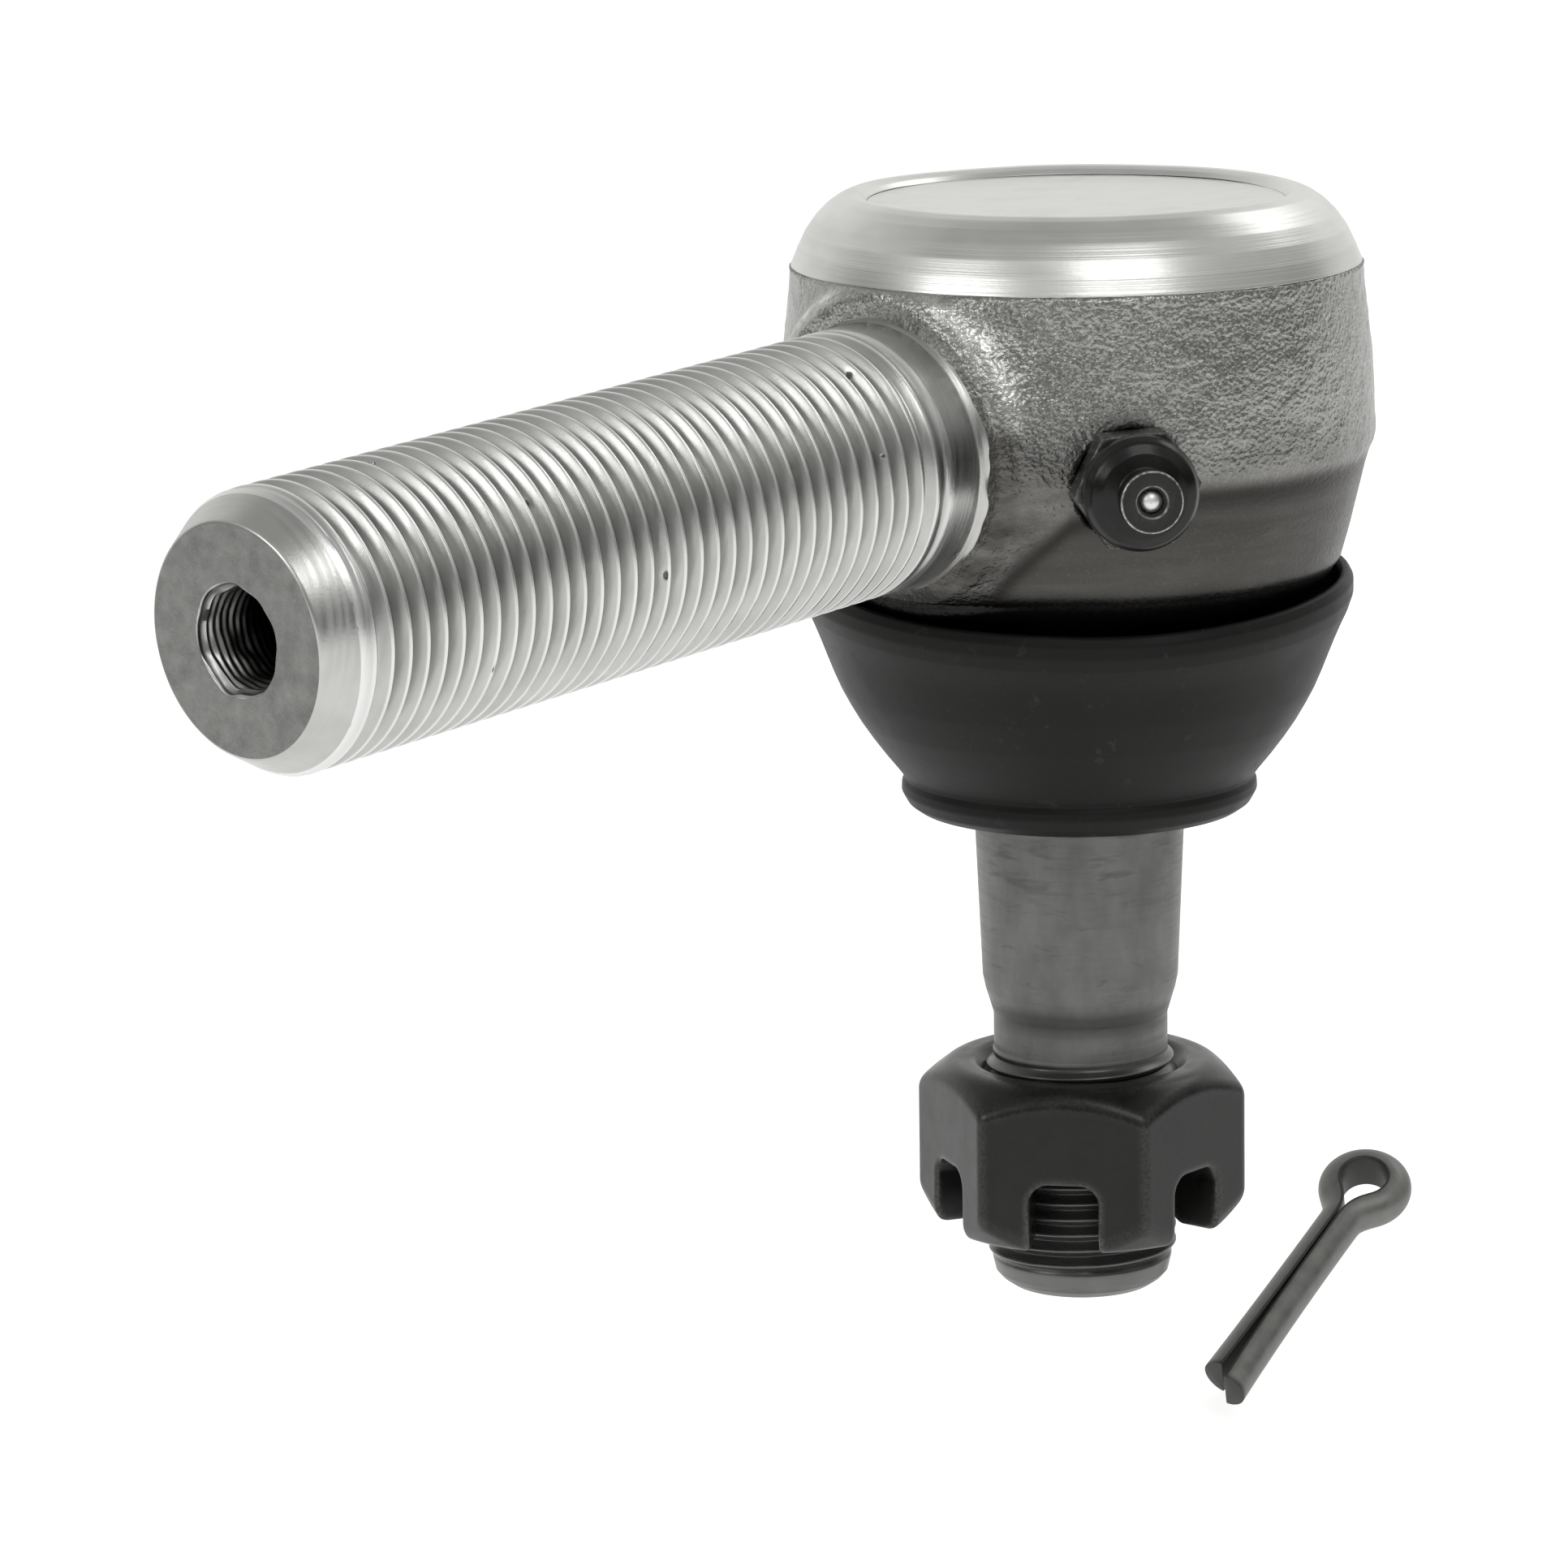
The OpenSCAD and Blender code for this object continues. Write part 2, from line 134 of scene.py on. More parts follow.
def fillet(points, radii, guard=0.06):
    """Rounds the corners of an open (x, y) line. A radius of 0 leaves a corner sharp."""
    points = [np.array(p, float) for p in points]
    out = [points[0]]
    for i in range(1, len(points) - 1):
        p, q, s = points[i - 1], points[i], points[i + 1]
        r = radii[i] if isinstance(radii, (list, tuple)) else radii
        u, v = p - q, s - q
        lu, lv = np.linalg.norm(u), np.linalg.norm(v)
        if r <= 0 or lu < 1e-9 or lv < 1e-9:
            out.append(q)
            continue
        u, v = u / lu, v / lv
        angle = math.acos(np.clip(u @ v, -1, 1))
        if angle > math.radians(177):
            out.append(q)
            continue
        cut = min(r / math.tan(angle / 2), 0.46 * lu, 0.46 * lv)
        r = cut * math.tan(angle / 2)
        centre = q + (u + v) / np.linalg.norm(u + v) * r / math.sin(angle / 2)
        a, b = q + u * cut - centre, q + v * cut - centre
        steps = max(3, int(math.degrees(math.pi - angle) / 12))
        out.append(q + u * cut + u * min(guard, 0.5 * (lu - cut)))
        for k in range(steps + 1):
            t = k / steps
            w = math.pi - angle
            m = (math.sin((1 - t) * w) * a + math.sin(t * w) * b) / math.sin(w)
            out.append(centre + m)
        out.append(q + v * (cut + min(guard, 0.5 * (lv - cut))))
    out.append(points[-1])
    return np.array(out)


# ---------------------------------------------------------------- mesh tools


def make_mesh(name, verts, quads, tris=None):
    """An object from arrays, with its points in millimetres, shaded smooth."""
    tris = np.zeros((0, 3), np.int64) if tris is None or len(tris) == 0 else np.asarray(tris)
    quads = np.zeros((0, 4), np.int64) if quads is None or len(quads) == 0 else np.asarray(quads)
    mesh = bpy.data.meshes.new(name)
    mesh.vertices.add(len(verts))
    mesh.vertices.foreach_set("co", (np.asarray(verts, float) * MM).astype(np.float32).ravel())
    loops = np.concatenate([quads.ravel(), tris.ravel()]).astype(np.int32)
    mesh.loops.add(len(loops))
    mesh.loops.foreach_set("vertex_index", loops)
    starts = np.concatenate([np.arange(len(quads)) * 4,
                             len(quads) * 4 + np.arange(len(tris)) * 3]).astype(np.int32)
    mesh.polygons.add(len(starts))
    mesh.polygons.foreach_set("loop_start", starts)
    mesh.update(calc_edges=True)
    mesh.validate()
    obj = bpy.data.objects.new(name, mesh)
    smooth_all(obj)
    bpy.context.scene.collection.objects.link(obj)
    return obj


def smooth_all(obj):
    obj.data.polygons.foreach_set("use_smooth", np.ones(len(obj.data.polygons), bool))


def crisp(obj, degrees):
    """Marks the edges that bend by more than this as sharp."""
    obj.data.set_sharp_from_angle(angle=math.radians(degrees))


def store(obj, name, values):
    """Keeps one number for each vertex, for the material to read."""
    attribute = obj.data.attributes.new(name, "FLOAT", "POINT")
    attribute.data.foreach_set("value", np.asarray(values, np.float32))


def vectors(items, name):
    """One vector of each vertex or face, as rows."""
    flat = np.zeros(len(items) * 3, np.float32)
    items.foreach_get(name, flat)
    return flat.reshape(-1, 3).astype(float)


def points_of(obj):
    """A mesh's points in millimetres."""
    return vectors(obj.data.vertices, "co") / MM


def move_points(obj, p):
    obj.data.vertices.foreach_set("co", (p * MM).astype(np.float32).ravel())
    obj.data.update()


def grid_faces(rings, sides):
    """Quads of a tube whose rings are rows of a grid."""
    j = np.arange(rings - 1)[:, None] * sides
    i = np.arange(sides)[None, :]
    n = (i + 1) % sides
    return np.stack([j + i, j + n, j + sides + n, j + sides + i], -1).reshape(-1, 4)


def place(axial, radial, angle, origin, axis, side, upward):
    """Points from distance along an axis, distance from it and turn about it."""
    c, s = np.cos(angle), np.sin(angle)
    spoke = c[..., None] * side + s[..., None] * upward
    return origin + axial[..., None] * axis + radial[..., None] * spoke


def revolve(name, profile, sides, origin=(0, 0, 0), axis=(0, 0, 1), side=(1, 0, 0), upward=(0, 1, 0),
            closed=False, wobble=None):
    """A surface of revolution. profile holds (distance from the axis, distance along it)."""
    profile = np.asarray(profile, float)
    origin, axis, side, upward = (np.array(v, float) for v in (origin, axis, side, upward))
    start_pole = profile[0, 0] < 1e-6 and not closed
    end_pole = profile[-1, 0] < 1e-6 and not closed
    rows = profile[1 if start_pole else 0:len(profile) - (1 if end_pole else 0)]
    angle = np.linspace(0, 2 * math.pi, sides, endpoint=False)
    r = np.repeat(rows[:, :1], sides, 1)
    z = np.repeat(rows[:, 1:], sides, 1)
    a = np.repeat(angle[None, :], len(rows), 0)
    if wobble is not None:
        r, z = wobble(r, z, a)
    verts = place(z, r, a, origin, axis, side, upward).reshape(-1, 3)
    quads = grid_faces(len(rows), sides)
    if closed:
        last = (len(rows) - 1) * sides
        i = np.arange(sides)
        n = (i + 1) % sides
        quads = np.concatenate([quads, np.stack([last + i, last + n, n, i], -1)])
    tris = []
    if start_pole:
        verts = np.concatenate([verts, (origin + profile[0, 1] * axis)[None]])
        tris += [(len(verts) - 1, (i + 1) % sides, i) for i in range(sides)]
    if end_pole:
        verts = np.concatenate([verts, (origin + profile[-1, 1] * axis)[None]])
        last = (len(rows) - 1) * sides
        tris += [(len(verts) - 1, last + i, last + (i + 1) % sides) for i in range(sides)]
    obj = make_mesh(name, verts, quads, tris)
    face_out(obj)
    return obj


def face_out(obj):
    """Turns the faces of a closed mesh outwards."""
    co = points_of(obj)
    mesh = obj.data
    mesh.calc_loop_triangles()
    t = np.zeros(len(mesh.loop_triangles) * 3, np.int32)
    mesh.loop_triangles.foreach_get("vertices", t)
    t = t.reshape(-1, 3)
    if np.einsum("ij,ij->i", co[t[:, 0]], np.cross(co[t[:, 1]], co[t[:, 2]])).sum() < 0:
        mesh.flip_normals()


def clean(obj, weld):
    """Makes the faces agree on which side is out, after joining points that coincide."""
    work = bmesh.new()
    work.from_mesh(obj.data)
    if weld:
        bmesh.ops.remove_doubles(work, verts=work.verts, dist=2e-6)
        bmesh.ops.dissolve_degenerate(work, edges=work.edges, dist=1e-7)
    bmesh.ops.recalc_face_normals(work, faces=work.faces)
    work.to_mesh(obj.data)
    work.free()
    smooth_all(obj)


def from_field(name, field, low, high, step):
    """A mesh of the surface where a signed distance field is zero, its points moved exactly onto it."""
    axes = [np.arange(low[i], high[i] + step, step) for i in range(3)]
    values = np.empty([len(a) for a in axes], np.float32)
    y, z = np.meshgrid(axes[1], axes[2], indexing="ij")
    flat_y, flat_z = y.ravel(), z.ravel()
    for i, x in enumerate(axes[0]):
        values[i] = field(np.full(flat_y.shape, x), flat_y, flat_z).reshape(y.shape)
    band = 4 * step
    grid = openvdb.FloatGrid(band)
    grid.copyFromArray(np.clip(values, -band, band))
    verts, tris, quads = grid.convertToPolygons(0.0, 0.0)
    verts = np.asarray(verts, float) * step + np.array(low, float)
    e = step * 0.2
    for _ in range(2):
        x, y, z = verts.T
        d = field(x, y, z)
        g = np.stack([
            field(x + e, y, z) - field(x - e, y, z),
            field(x, y + e, z) - field(x, y - e, z),
            field(x, y, z + e) - field(x, y, z - e),
        ], 1) / (2 * e)
        n2 = np.maximum((g * g).sum(1), 0.05)
        verts = verts - g * np.clip(d / n2, -step, step)[:, None]
    obj = make_mesh(name, verts, quads, tris)
    face_out(obj)
    return obj


def polygon_field(points, low, high, step=0.1):
    """Signed distance to a closed polygon in a plane, sampled once and read by interpolation."""
    points = np.asarray(points, float)
    u = np.arange(low[0], high[0] + step, step)
    v = np.arange(low[1], high[1] + step, step)
    a, b = np.meshgrid(u, v, indexing="ij")
    best = np.full(a.shape, 1e9)
    inside = np.zeros(a.shape, bool)
    for i in range(len(points)):
        p, q = points[i], points[(i + 1) % len(points)]
        d = q - p
        t = np.clip(((a - p[0]) * d[0] + (b - p[1]) * d[1]) / max(d @ d, 1e-12), 0, 1)
        best = np.minimum(best, np.hypot(a - p[0] - t * d[0], b - p[1] - t * d[1]))
        crosses = (p[1] > b) != (q[1] > b)
        with np.errstate(divide="ignore", invalid="ignore"):
            at = p[0] + (b - p[1]) / (q[1] - p[1]) * d[0]
        inside ^= crosses & (a < at)
    table = np.where(inside, -best, best)

    def read(x, y):
        fx = np.clip((x - low[0]) / step, 0, len(u) - 1.001)
        fy = np.clip((y - low[1]) / step, 0, len(v) - 1.001)
        i, j = fx.astype(int), fy.astype(int)
        fx, fy = fx - i, fy - j
        return (table[i, j] * (1 - fx) * (1 - fy) + table[i + 1, j] * fx * (1 - fy)
                + table[i, j + 1] * (1 - fx) * fy + table[i + 1, j + 1] * fx * fy)

    return read


def helix_rows(start, stop, pitch, shape, sides, outside):
    """Rows of a threaded sleeve between two planes.

    shape is [(share of the pitch, depth share)]; outside gives the crest radius and the thread's depth at a
    distance along the axis.
    """
    m = len(shape)
    turns = int((stop - start) / pitch) + 3
    j = np.arange(-m, turns * m)
    offset = (j // m + np.array([s[0] for s in shape])[j % m]) * pitch
    depth = np.array([s[1] for s in shape])[j % m]
    angle = np.linspace(0, 2 * math.pi, sides, endpoint=False)
    axial = start + offset[:, None] + pitch * angle[None, :] / (2 * math.pi)
    axial = np.clip(axial, start, stop)
    crest, deep = outside(axial)
    radial = crest - deep * depth[:, None]
    rows = len(j)
    low = np.arange(rows - 1)[:, None] * sides
    i = np.arange(sides)[None, :]
    quads = np.stack([low + i, low + i + 1, low + sides + i + 1, low + sides + i], -1)
    last = np.arange(rows - 1)
    turn = last + m
    good = turn + 1 < rows
    quads[:, -1, :] = np.stack([
        last * sides + sides - 1, turn * sides, (turn + 1) * sides, (last + 1) * sides + sides - 1
    ], -1)
    quads = np.concatenate([quads[:, :-1].reshape(-1, 4), quads[good, -1]])
    a = np.repeat(angle[None, :], rows, 0)
    return axial, radial, a, quads, np.repeat(depth[:, None], sides, 1)


def threaded(name, before, after, start, stop, pitch, shape, sides, outside, origin, axis, side, upward):
    """A turned piece with a real helical thread between two plain stretches, given as (radius, distance)."""
    axial, radial, angle, quads, depth = helix_rows(start, stop, pitch, shape, sides, outside)
    verts = [place(axial, radial, angle, origin, axis, side, upward).reshape(-1, 3)]
    deep = outside(axial)[1]
    marks = [(depth * deep / deep.max()).ravel()]
    faces = [quads]
    tris = []
    ring_angle = np.linspace(0, 2 * math.pi, sides, endpoint=False)
    for rows in (np.asarray(before, float), np.asarray(after, float)):
        base = sum(len(v) for v in verts)
        pole_first = rows[0, 0] < 1e-6
        pole_last = rows[-1, 0] < 1e-6
        body = rows[1 if pole_first else 0:len(rows) - (1 if pole_last else 0)]
        r = np.repeat(body[:, :1], sides, 1)
        s = np.repeat(body[:, 1:], sides, 1)
        a = np.repeat(ring_angle[None, :], len(body), 0)
        verts.append(place(s, r, a, origin, axis, side, upward).reshape(-1, 3))
        faces.append(grid_faces(len(body), sides) + base)
        if pole_first:
            verts.append((origin + rows[0, 1] * axis)[None])
            centre = base + len(body) * sides
            tris += [(centre, base + (i + 1) % sides, base + i) for i in range(sides)]
        if pole_last:
            verts.append((origin + rows[-1, 1] * axis)[None])
            centre = base + len(body) * sides
            last = base + (len(body) - 1) * sides
            tris += [(centre, last + i, last + (i + 1) % sides) for i in range(sides)]
        marks.append(np.full(len(body) * sides + int(pole_first) + int(pole_last), 0.3))
    obj = make_mesh(name, np.concatenate(verts), np.concatenate(faces), tris)
    store(obj, "depth", np.concatenate(marks))
    clean(obj, weld=True)
    face_out(obj)
    return obj


def convexity(obj, reach):
    """How much a surface bulges at each vertex: 0 where flat, up to 1 on an edge that sticks out."""
    mesh = obj.data
    co = points_of(obj)
    e = np.zeros(len(mesh.edges) * 2, np.int32)
    mesh.edges.foreach_get("vertices", e)
    e = e.reshape(-1, 2)
    no = vectors(mesh.vertices, "normal")
    d = co[e[:, 1]] - co[e[:, 0]]
    length = np.maximum(np.linalg.norm(d, axis=1), 1e-6)
    bend = ((no[e[:, 1]] - no[e[:, 0]]) * d).sum(1) / length ** 2
    total, count = np.zeros(len(co)), np.zeros(len(co))
    for k in range(2):
        np.add.at(total, e[:, k], bend)
        np.add.at(count, e[:, k], 1)
    value = total / np.maximum(count, 1)
    for _ in range(2):
        smooth, count = value.copy(), np.ones(len(co))
        np.add.at(smooth, e[:, 0], value[e[:, 1]])
        np.add.at(smooth, e[:, 1], value[e[:, 0]])
        np.add.at(count, e.ravel(), 1)
        value = smooth / count
    return np.clip(value * reach, 0, 1)


def cut(obj, tool):
    """Takes one closed mesh out of another."""
    modifier = obj.modifiers.new("cut", "BOOLEAN")
    modifier.operation = "DIFFERENCE"
    modifier.solver = "MANIFOLD"
    modifier.object = tool
    deps = bpy.context.evaluated_depsgraph_get()
    mesh = bpy.data.meshes.new_from_object(obj.evaluated_get(deps))
    obj.modifiers.clear()
    obj.data = mesh
    bpy.data.objects.remove(tool)
    return obj


def coat(obj, material):
    obj.data.materials.clear()
    obj.data.materials.append(material)


def piece(obj, body, nodes, material):
    """Finishes a piece: its material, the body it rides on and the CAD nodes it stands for."""
    coat(obj, material)
    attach(obj, body)
    if nodes:
        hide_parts(*nodes)
    return obj


# ---------------------------------------------------------------- materials


class Nodes:
    """Writes a material's nodes in a few words."""

    def __init__(self, name):
        self.material = bpy.data.materials.new(name)
        self.material.use_nodes = True
        self.tree = self.material.node_tree
        self.shader = next(n for n in self.tree.nodes if n.type == "BSDF_PRINCIPLED")
        self.where = self.tree.nodes.new("ShaderNodeTexCoord").outputs["Object"]

    def node(self, kind, **settings):
        n = self.tree.nodes.new(kind)
        for key, value in settings.items():
            setattr(n, key, value)
        return n

    def link(self, a, b):
        self.tree.links.new(a, b)

    def feed(self, socket, value):
        if isinstance(value, bpy.types.NodeSocket):
            self.link(value, socket)
        else:
            socket.default_value = value

    def math(self, operation, a, b):
        n = self.node("ShaderNodeMath", operation=operation)
        self.feed(n.inputs[0], a)
        self.feed(n.inputs[1], b)
        return n.outputs[0]

    def times(self, a, b):
        return self.math("MULTIPLY", a, b)

    def stretch(self, scale, turn=(0, 0, 0)):
        """Object coordinates in millimetres, turned and then scaled per axis."""
        first = self.node("ShaderNodeMapping")
        first.inputs["Rotation"].default_value = turn
        self.link(self.where, first.inputs["Vector"])
        second = self.node("ShaderNodeMapping")
        second.inputs["Scale"].default_value = [1000 * s for s in scale]
        self.link(first.outputs[0], second.inputs["Vector"])
        return second.outputs[0]

    def noise(self, vector, detail=3.0, rough=0.5, distortion=0.0):
        n = self.node("ShaderNodeTexNoise")
        self.link(vector, n.inputs["Vector"])
        n.inputs["Scale"].default_value = 1.0
        n.inputs["Detail"].default_value = detail
        n.inputs["Roughness"].default_value = rough
        n.inputs["Distortion"].default_value = distortion
        return n.outputs["Fac"]

    def even_noise(self, per_mm, detail=3.0, rough=0.5, distortion=0.0):
        """Noise with the same number of features per millimetre in every direction."""
        return self.noise(self.stretch((per_mm, per_mm, per_mm)), detail, rough, distortion)

    def cells(self, vector, feature="F1"):
        n = self.node("ShaderNodeTexVoronoi", feature=feature)
        self.link(vector, n.inputs["Vector"])
        n.inputs["Scale"].default_value = 1.0
        return n.outputs["Distance"]

    def attribute(self, name):
        n = self.node("ShaderNodeAttribute", attribute_name=name)
        return n.outputs["Fac"]

    def range(self, value, a, b, low=0.0, high=1.0):
        n = self.node("ShaderNodeMapRange", clamp=True)
        self.feed(n.inputs["Value"], value)
        n.inputs["From Min"].default_value = a
        n.inputs["From Max"].default_value = b
        n.inputs["To Min"].default_value = low
        n.inputs["To Max"].default_value = high
        return n.outputs["Result"]

    def mix(self, factor, a, b):
        n = self.node("ShaderNodeMix", data_type="RGBA")
        self.feed(n.inputs["Factor"], factor)
        self.feed(n.inputs["A"], (*a, 1) if isinstance(a, tuple) else a)
        self.feed(n.inputs["B"], (*b, 1) if isinstance(b, tuple) else b)
        return n.outputs["Result"]

    def bump(self, height, strength, distance, normal=None):
        n = self.node("ShaderNodeBump")
        n.inputs["Strength"].default_value = strength
        n.inputs["Distance"].default_value = distance * MM
        self.link(height, n.inputs["Height"])
        if normal is not None:
            self.link(normal, n.inputs["Normal"])
        return n.outputs["Normal"]

    def set(self, **values):
        names = {"color": "Base Color", "metallic": "Metallic", "roughness": "Roughness", "normal": "Normal",
                 "specular": "Specular IOR Level", "glow": "Emission Color",
                 "glow_strength": "Emission Strength"}
        for key, value in values.items():
            self.feed(self.shader.inputs[names[key]], (*value, 1) if isinstance(value, tuple) else value)
        return self.material


def axis_lines(n, along, turn, fine, loose):
    """Coordinates for fine lines that run round an axis, as a lathe leaves them."""
    scale = [loose, loose, loose]
    scale[along] = fine
    return n.stretch(scale, turn)


def turned_steel():
    n = Nodes("turned_steel")
    turn = (0, -SHANK_TILT, 0)
    lines = n.noise(axis_lines(n, 0, turn, 3.0, 0.02), 1.0, 0.5)
    broad = n.even_noise(0.16, 3.0, 0.55)
    grain = n.even_noise(3.2, 2.0, 0.6)
    pits = n.range(n.cells(n.stretch((0.26, 0.26, 0.26))), 0.035, 0.075, 1.0, 0.0)
    picked = n.range(n.even_noise(0.11, 1.0), 0.5, 0.62)
    pits = n.times(pits, picked)
    depth = n.attribute("depth")
    crest = n.range(depth, 0.0, 0.10, 1.0, 0.0)
    painted_root_shade = n.range(depth, 0.75, 1.0, 0.0, 1.0)
    plain = n.attribute("plain")
    painted_root_shade = n.times(painted_root_shade, n.math("SUBTRACT", 1.0, plain))
    tone = n.range(broad, 0.3, 0.7, 0.0, 1.0)
    color = n.mix(tone, (0.41, 0.41, 0.398), (0.50, 0.50, 0.488))
    # painted shade in the thread roots, left off the plain stretches
    color = n.mix(n.times(painted_root_shade, 0.55), color, (0.25, 0.25, 0.245))
    # painted highlight along the thread crests
    color = n.mix(n.times(crest, 0.7), color, (0.80, 0.80, 0.79))
    pits = n.math("MAXIMUM", pits, n.range(n.attribute("nick"), 0.25, 0.6))
    color = n.mix(n.times(pits, 0.85), color, (0.06, 0.06, 0.06))
    # painted shade deep inside the centre hole of the shank's end
    color = n.mix(n.attribute("inside"), color, (0.03, 0.03, 0.03))
    rough = n.math("ADD", n.range(lines, 0.3, 0.7, 0.26, 0.36), n.times(grain, 0.05))
    normal = n.bump(lines, 0.35, 0.05)
    normal = n.bump(grain, 0.18, 0.05, normal)
    normal = n.bump(n.math("SUBTRACT", 1.0, pits), 0.6, 0.12, normal)
    return n.set(color=color, metallic=1.0, roughness=rough, normal=normal)


def rim_steel():
    n = Nodes("rim_steel")
    lines = n.noise(axis_lines(n, 2, (0, 0, 0), 2.4, 0.01), 0.0)
    fine = n.noise(axis_lines(n, 2, (0, 0, 0), 8.0, 0.01), 0.0)
    broad = n.noise(n.stretch((0.12, 0.12, 0.3)), 3.0)
    grain = n.even_noise(2.6, 2.0)
    color = n.mix(n.range(broad, 0.3, 0.7), (0.58, 0.58, 0.565), (0.68, 0.68, 0.665))
    rough = n.math("ADD", n.range(lines, 0.3, 0.7, 0.28, 0.33), n.times(grain, 0.05))
    normal = n.bump(lines, 0.12, 0.05)
    normal = n.bump(fine, 0.3, 0.04, normal)
    normal = n.bump(grain, 0.10, 0.05, normal)
    return n.set(color=color, metallic=1.0, roughness=rough, normal=normal)


def plate_steel():
    n = Nodes("plate_steel")
    soft = n.even_noise(0.35, 4.0, 0.6)
    grain = n.even_noise(4.0, 2.0)
    stain = n.range(n.noise(n.stretch((0.14, 0.22, 0.2)), 4.0, 0.6, 0.6), 0.52, 0.7)
    color = n.mix(n.range(soft, 0.3, 0.7), (0.68, 0.68, 0.665), (0.76, 0.76, 0.745))
    color = n.mix(n.times(stain, 0.18), color, (0.45, 0.45, 0.44))
    normal = n.bump(grain, 0.25, 0.04)
    return n.set(color=color, metallic=1.0, roughness=n.range(soft, 0.3, 0.7, 0.36, 0.46), normal=normal)


def forged_steel():
    n = Nodes("forged_steel")
    low = n.attribute("low")
    band = n.attribute("band")
    ridge_and_highlight = n.attribute("ridge_and_highlight")
    shade = n.attribute("shade")
    blast = n.noise(n.stretch((2.9, 2.9, 3.1)), 1.5, 0.6)
    pits = n.cells(n.stretch((2.1, 2.1, 2.3)), "SMOOTH_F1")
    broad = n.even_noise(0.14, 3.0)
    streak = n.noise(n.stretch((0.03, 0.03, 0.55)), 2.0, 0.5)
    patch = n.noise(n.stretch((0.10, 0.10, 0.34)), 4.0, 0.7, 0.4)
    color = n.mix(n.range(broad, 0.3, 0.7), (0.245, 0.245, 0.233), (0.31, 0.31, 0.298))
    color = n.mix(n.range(blast, 0.5, 0.75), color, (0.46, 0.46, 0.445))
    color = n.mix(shade, color, n.mix(n.range(patch, 0.35, 0.65), (0.045, 0.043, 0.040), (0.13, 0.127, 0.12)))
    smooth = n.mix(n.range(streak, 0.25, 0.75), (0.048, 0.047, 0.044), (0.074, 0.072, 0.067))
    smooth = n.mix(n.range(patch, 0.5, 0.8, 0.0, 0.6), smooth, (0.105, 0.10, 0.092))
    smooth = n.mix(n.range(blast, 0.55, 0.8, 0.0, 0.35), smooth, (0.14, 0.138, 0.13))
    color = n.mix(low, color, smooth)
    # painted shade: a dark band in the step just below the ledge
    color = n.mix(n.times(band, 0.8), color, (0.022, 0.019, 0.017))
    # painted shade low on the housing, where the boot's lip meets it
    color = n.mix(n.times(n.attribute("painted_lip_shade"), 0.93), color, (0.012, 0.012, 0.012))
    # painted highlight along the raised ridge at the shank's root
    color = n.mix(n.times(ridge_and_highlight, 0.75), color, (0.78, 0.78, 0.76))
    rough = n.math("ADD", n.range(blast, 0.3, 0.7, 0.25, 0.38), n.times(low, 0.10))
    upper = n.math("SUBTRACT", 1.0, n.times(low, 0.7))
    height = n.times(n.math("ADD", blast, n.times(pits, 1.1)), upper)
    normal = n.bump(height, 0.9, 0.10)
    return n.set(color=color, metallic=0.9, roughness=rough, normal=normal)


def face_steel():
    n = Nodes("face_steel")
    soft = n.even_noise(0.55, 4.0, 0.65)
    grain = n.even_noise(5.0, 2.0)
    stain = n.range(n.even_noise(0.3, 5.0, 0.7), 0.52, 0.72)
    color = n.mix(n.range(soft, 0.25, 0.75), (0.13, 0.13, 0.125), (0.25, 0.25, 0.24))
    color = n.mix(n.times(stain, 0.4), color, (0.09, 0.09, 0.085))
    color = n.mix(n.range(grain, 0.45, 0.75, 0.0, 0.5), color, (0.28, 0.28, 0.27))
    normal = n.bump(grain, 0.6, 0.10)
    normal = n.bump(soft, 0.3, 0.2, normal)
    return n.set(color=color, metallic=0.35, roughness=n.range(grain, 0.3, 0.7, 0.55, 0.7), normal=normal)


def phosphate_steel():
    n = Nodes("phosphate_steel")
    z = n.node("ShaderNodeSeparateXYZ")
    n.link(n.where, z.inputs[0])
    height = n.times(z.outputs["Z"], 1000.0)
    lines = n.noise(axis_lines(n, 2, (0, 0, 0), 3.0, 0.10), 4.0, 0.6)
    soft = n.noise(n.stretch((0.28, 0.28, 0.16)), 4.0, 0.6)
    scuff = n.range(n.noise(n.stretch((0.35, 0.35, 1.2)), 4.0, 0.6, 0.8), 0.60, 0.70)
    dark = n.times(n.range(height, -60.2, -59.2, 1.0, 0.0),
                   n.range(height, -62.6, -61.4, 0.0, 1.0))
    crest = n.range(n.attribute("depth"), 0.0, 0.12, 1.0, 0.0)
    color = n.mix(n.range(soft, 0.3, 0.7), (0.105, 0.105, 0.10), (0.155, 0.155, 0.15))
    color = n.mix(n.times(scuff, 0.35), color, (0.05, 0.05, 0.05))
    color = n.mix(n.times(dark, 0.65), color, (0.035, 0.035, 0.035))
    smudge = n.noise(n.stretch((0.22, 0.22, 1.0)), 2.0, 0.5, 0.3)
    smudge = n.times(n.range(smudge, 0.52, 0.68), n.range(height, -50.0, -46.0))
    color = n.mix(n.times(smudge, 0.5), color, (0.05, 0.05, 0.05))
    threads = n.times(n.range(height, -65.4, -64.9, 1.0, 0.0),
                      n.range(height, -86.6, -85.8, 0.45, 1.0))
    color = n.mix(n.times(threads, 0.7), color, (0.03, 0.03, 0.03))
    # painted highlight on the stud's thread crests
    color = n.mix(n.times(crest, 0.25), color, (0.26, 0.26, 0.25))
    rough = n.math("SUBTRACT", n.range(lines, 0.3, 0.7, 0.38, 0.5), n.times(threads, 0.16))
    normal = n.bump(lines, 0.25, 0.06)
    return n.set(color=color, metallic=0.55, roughness=rough, normal=normal)


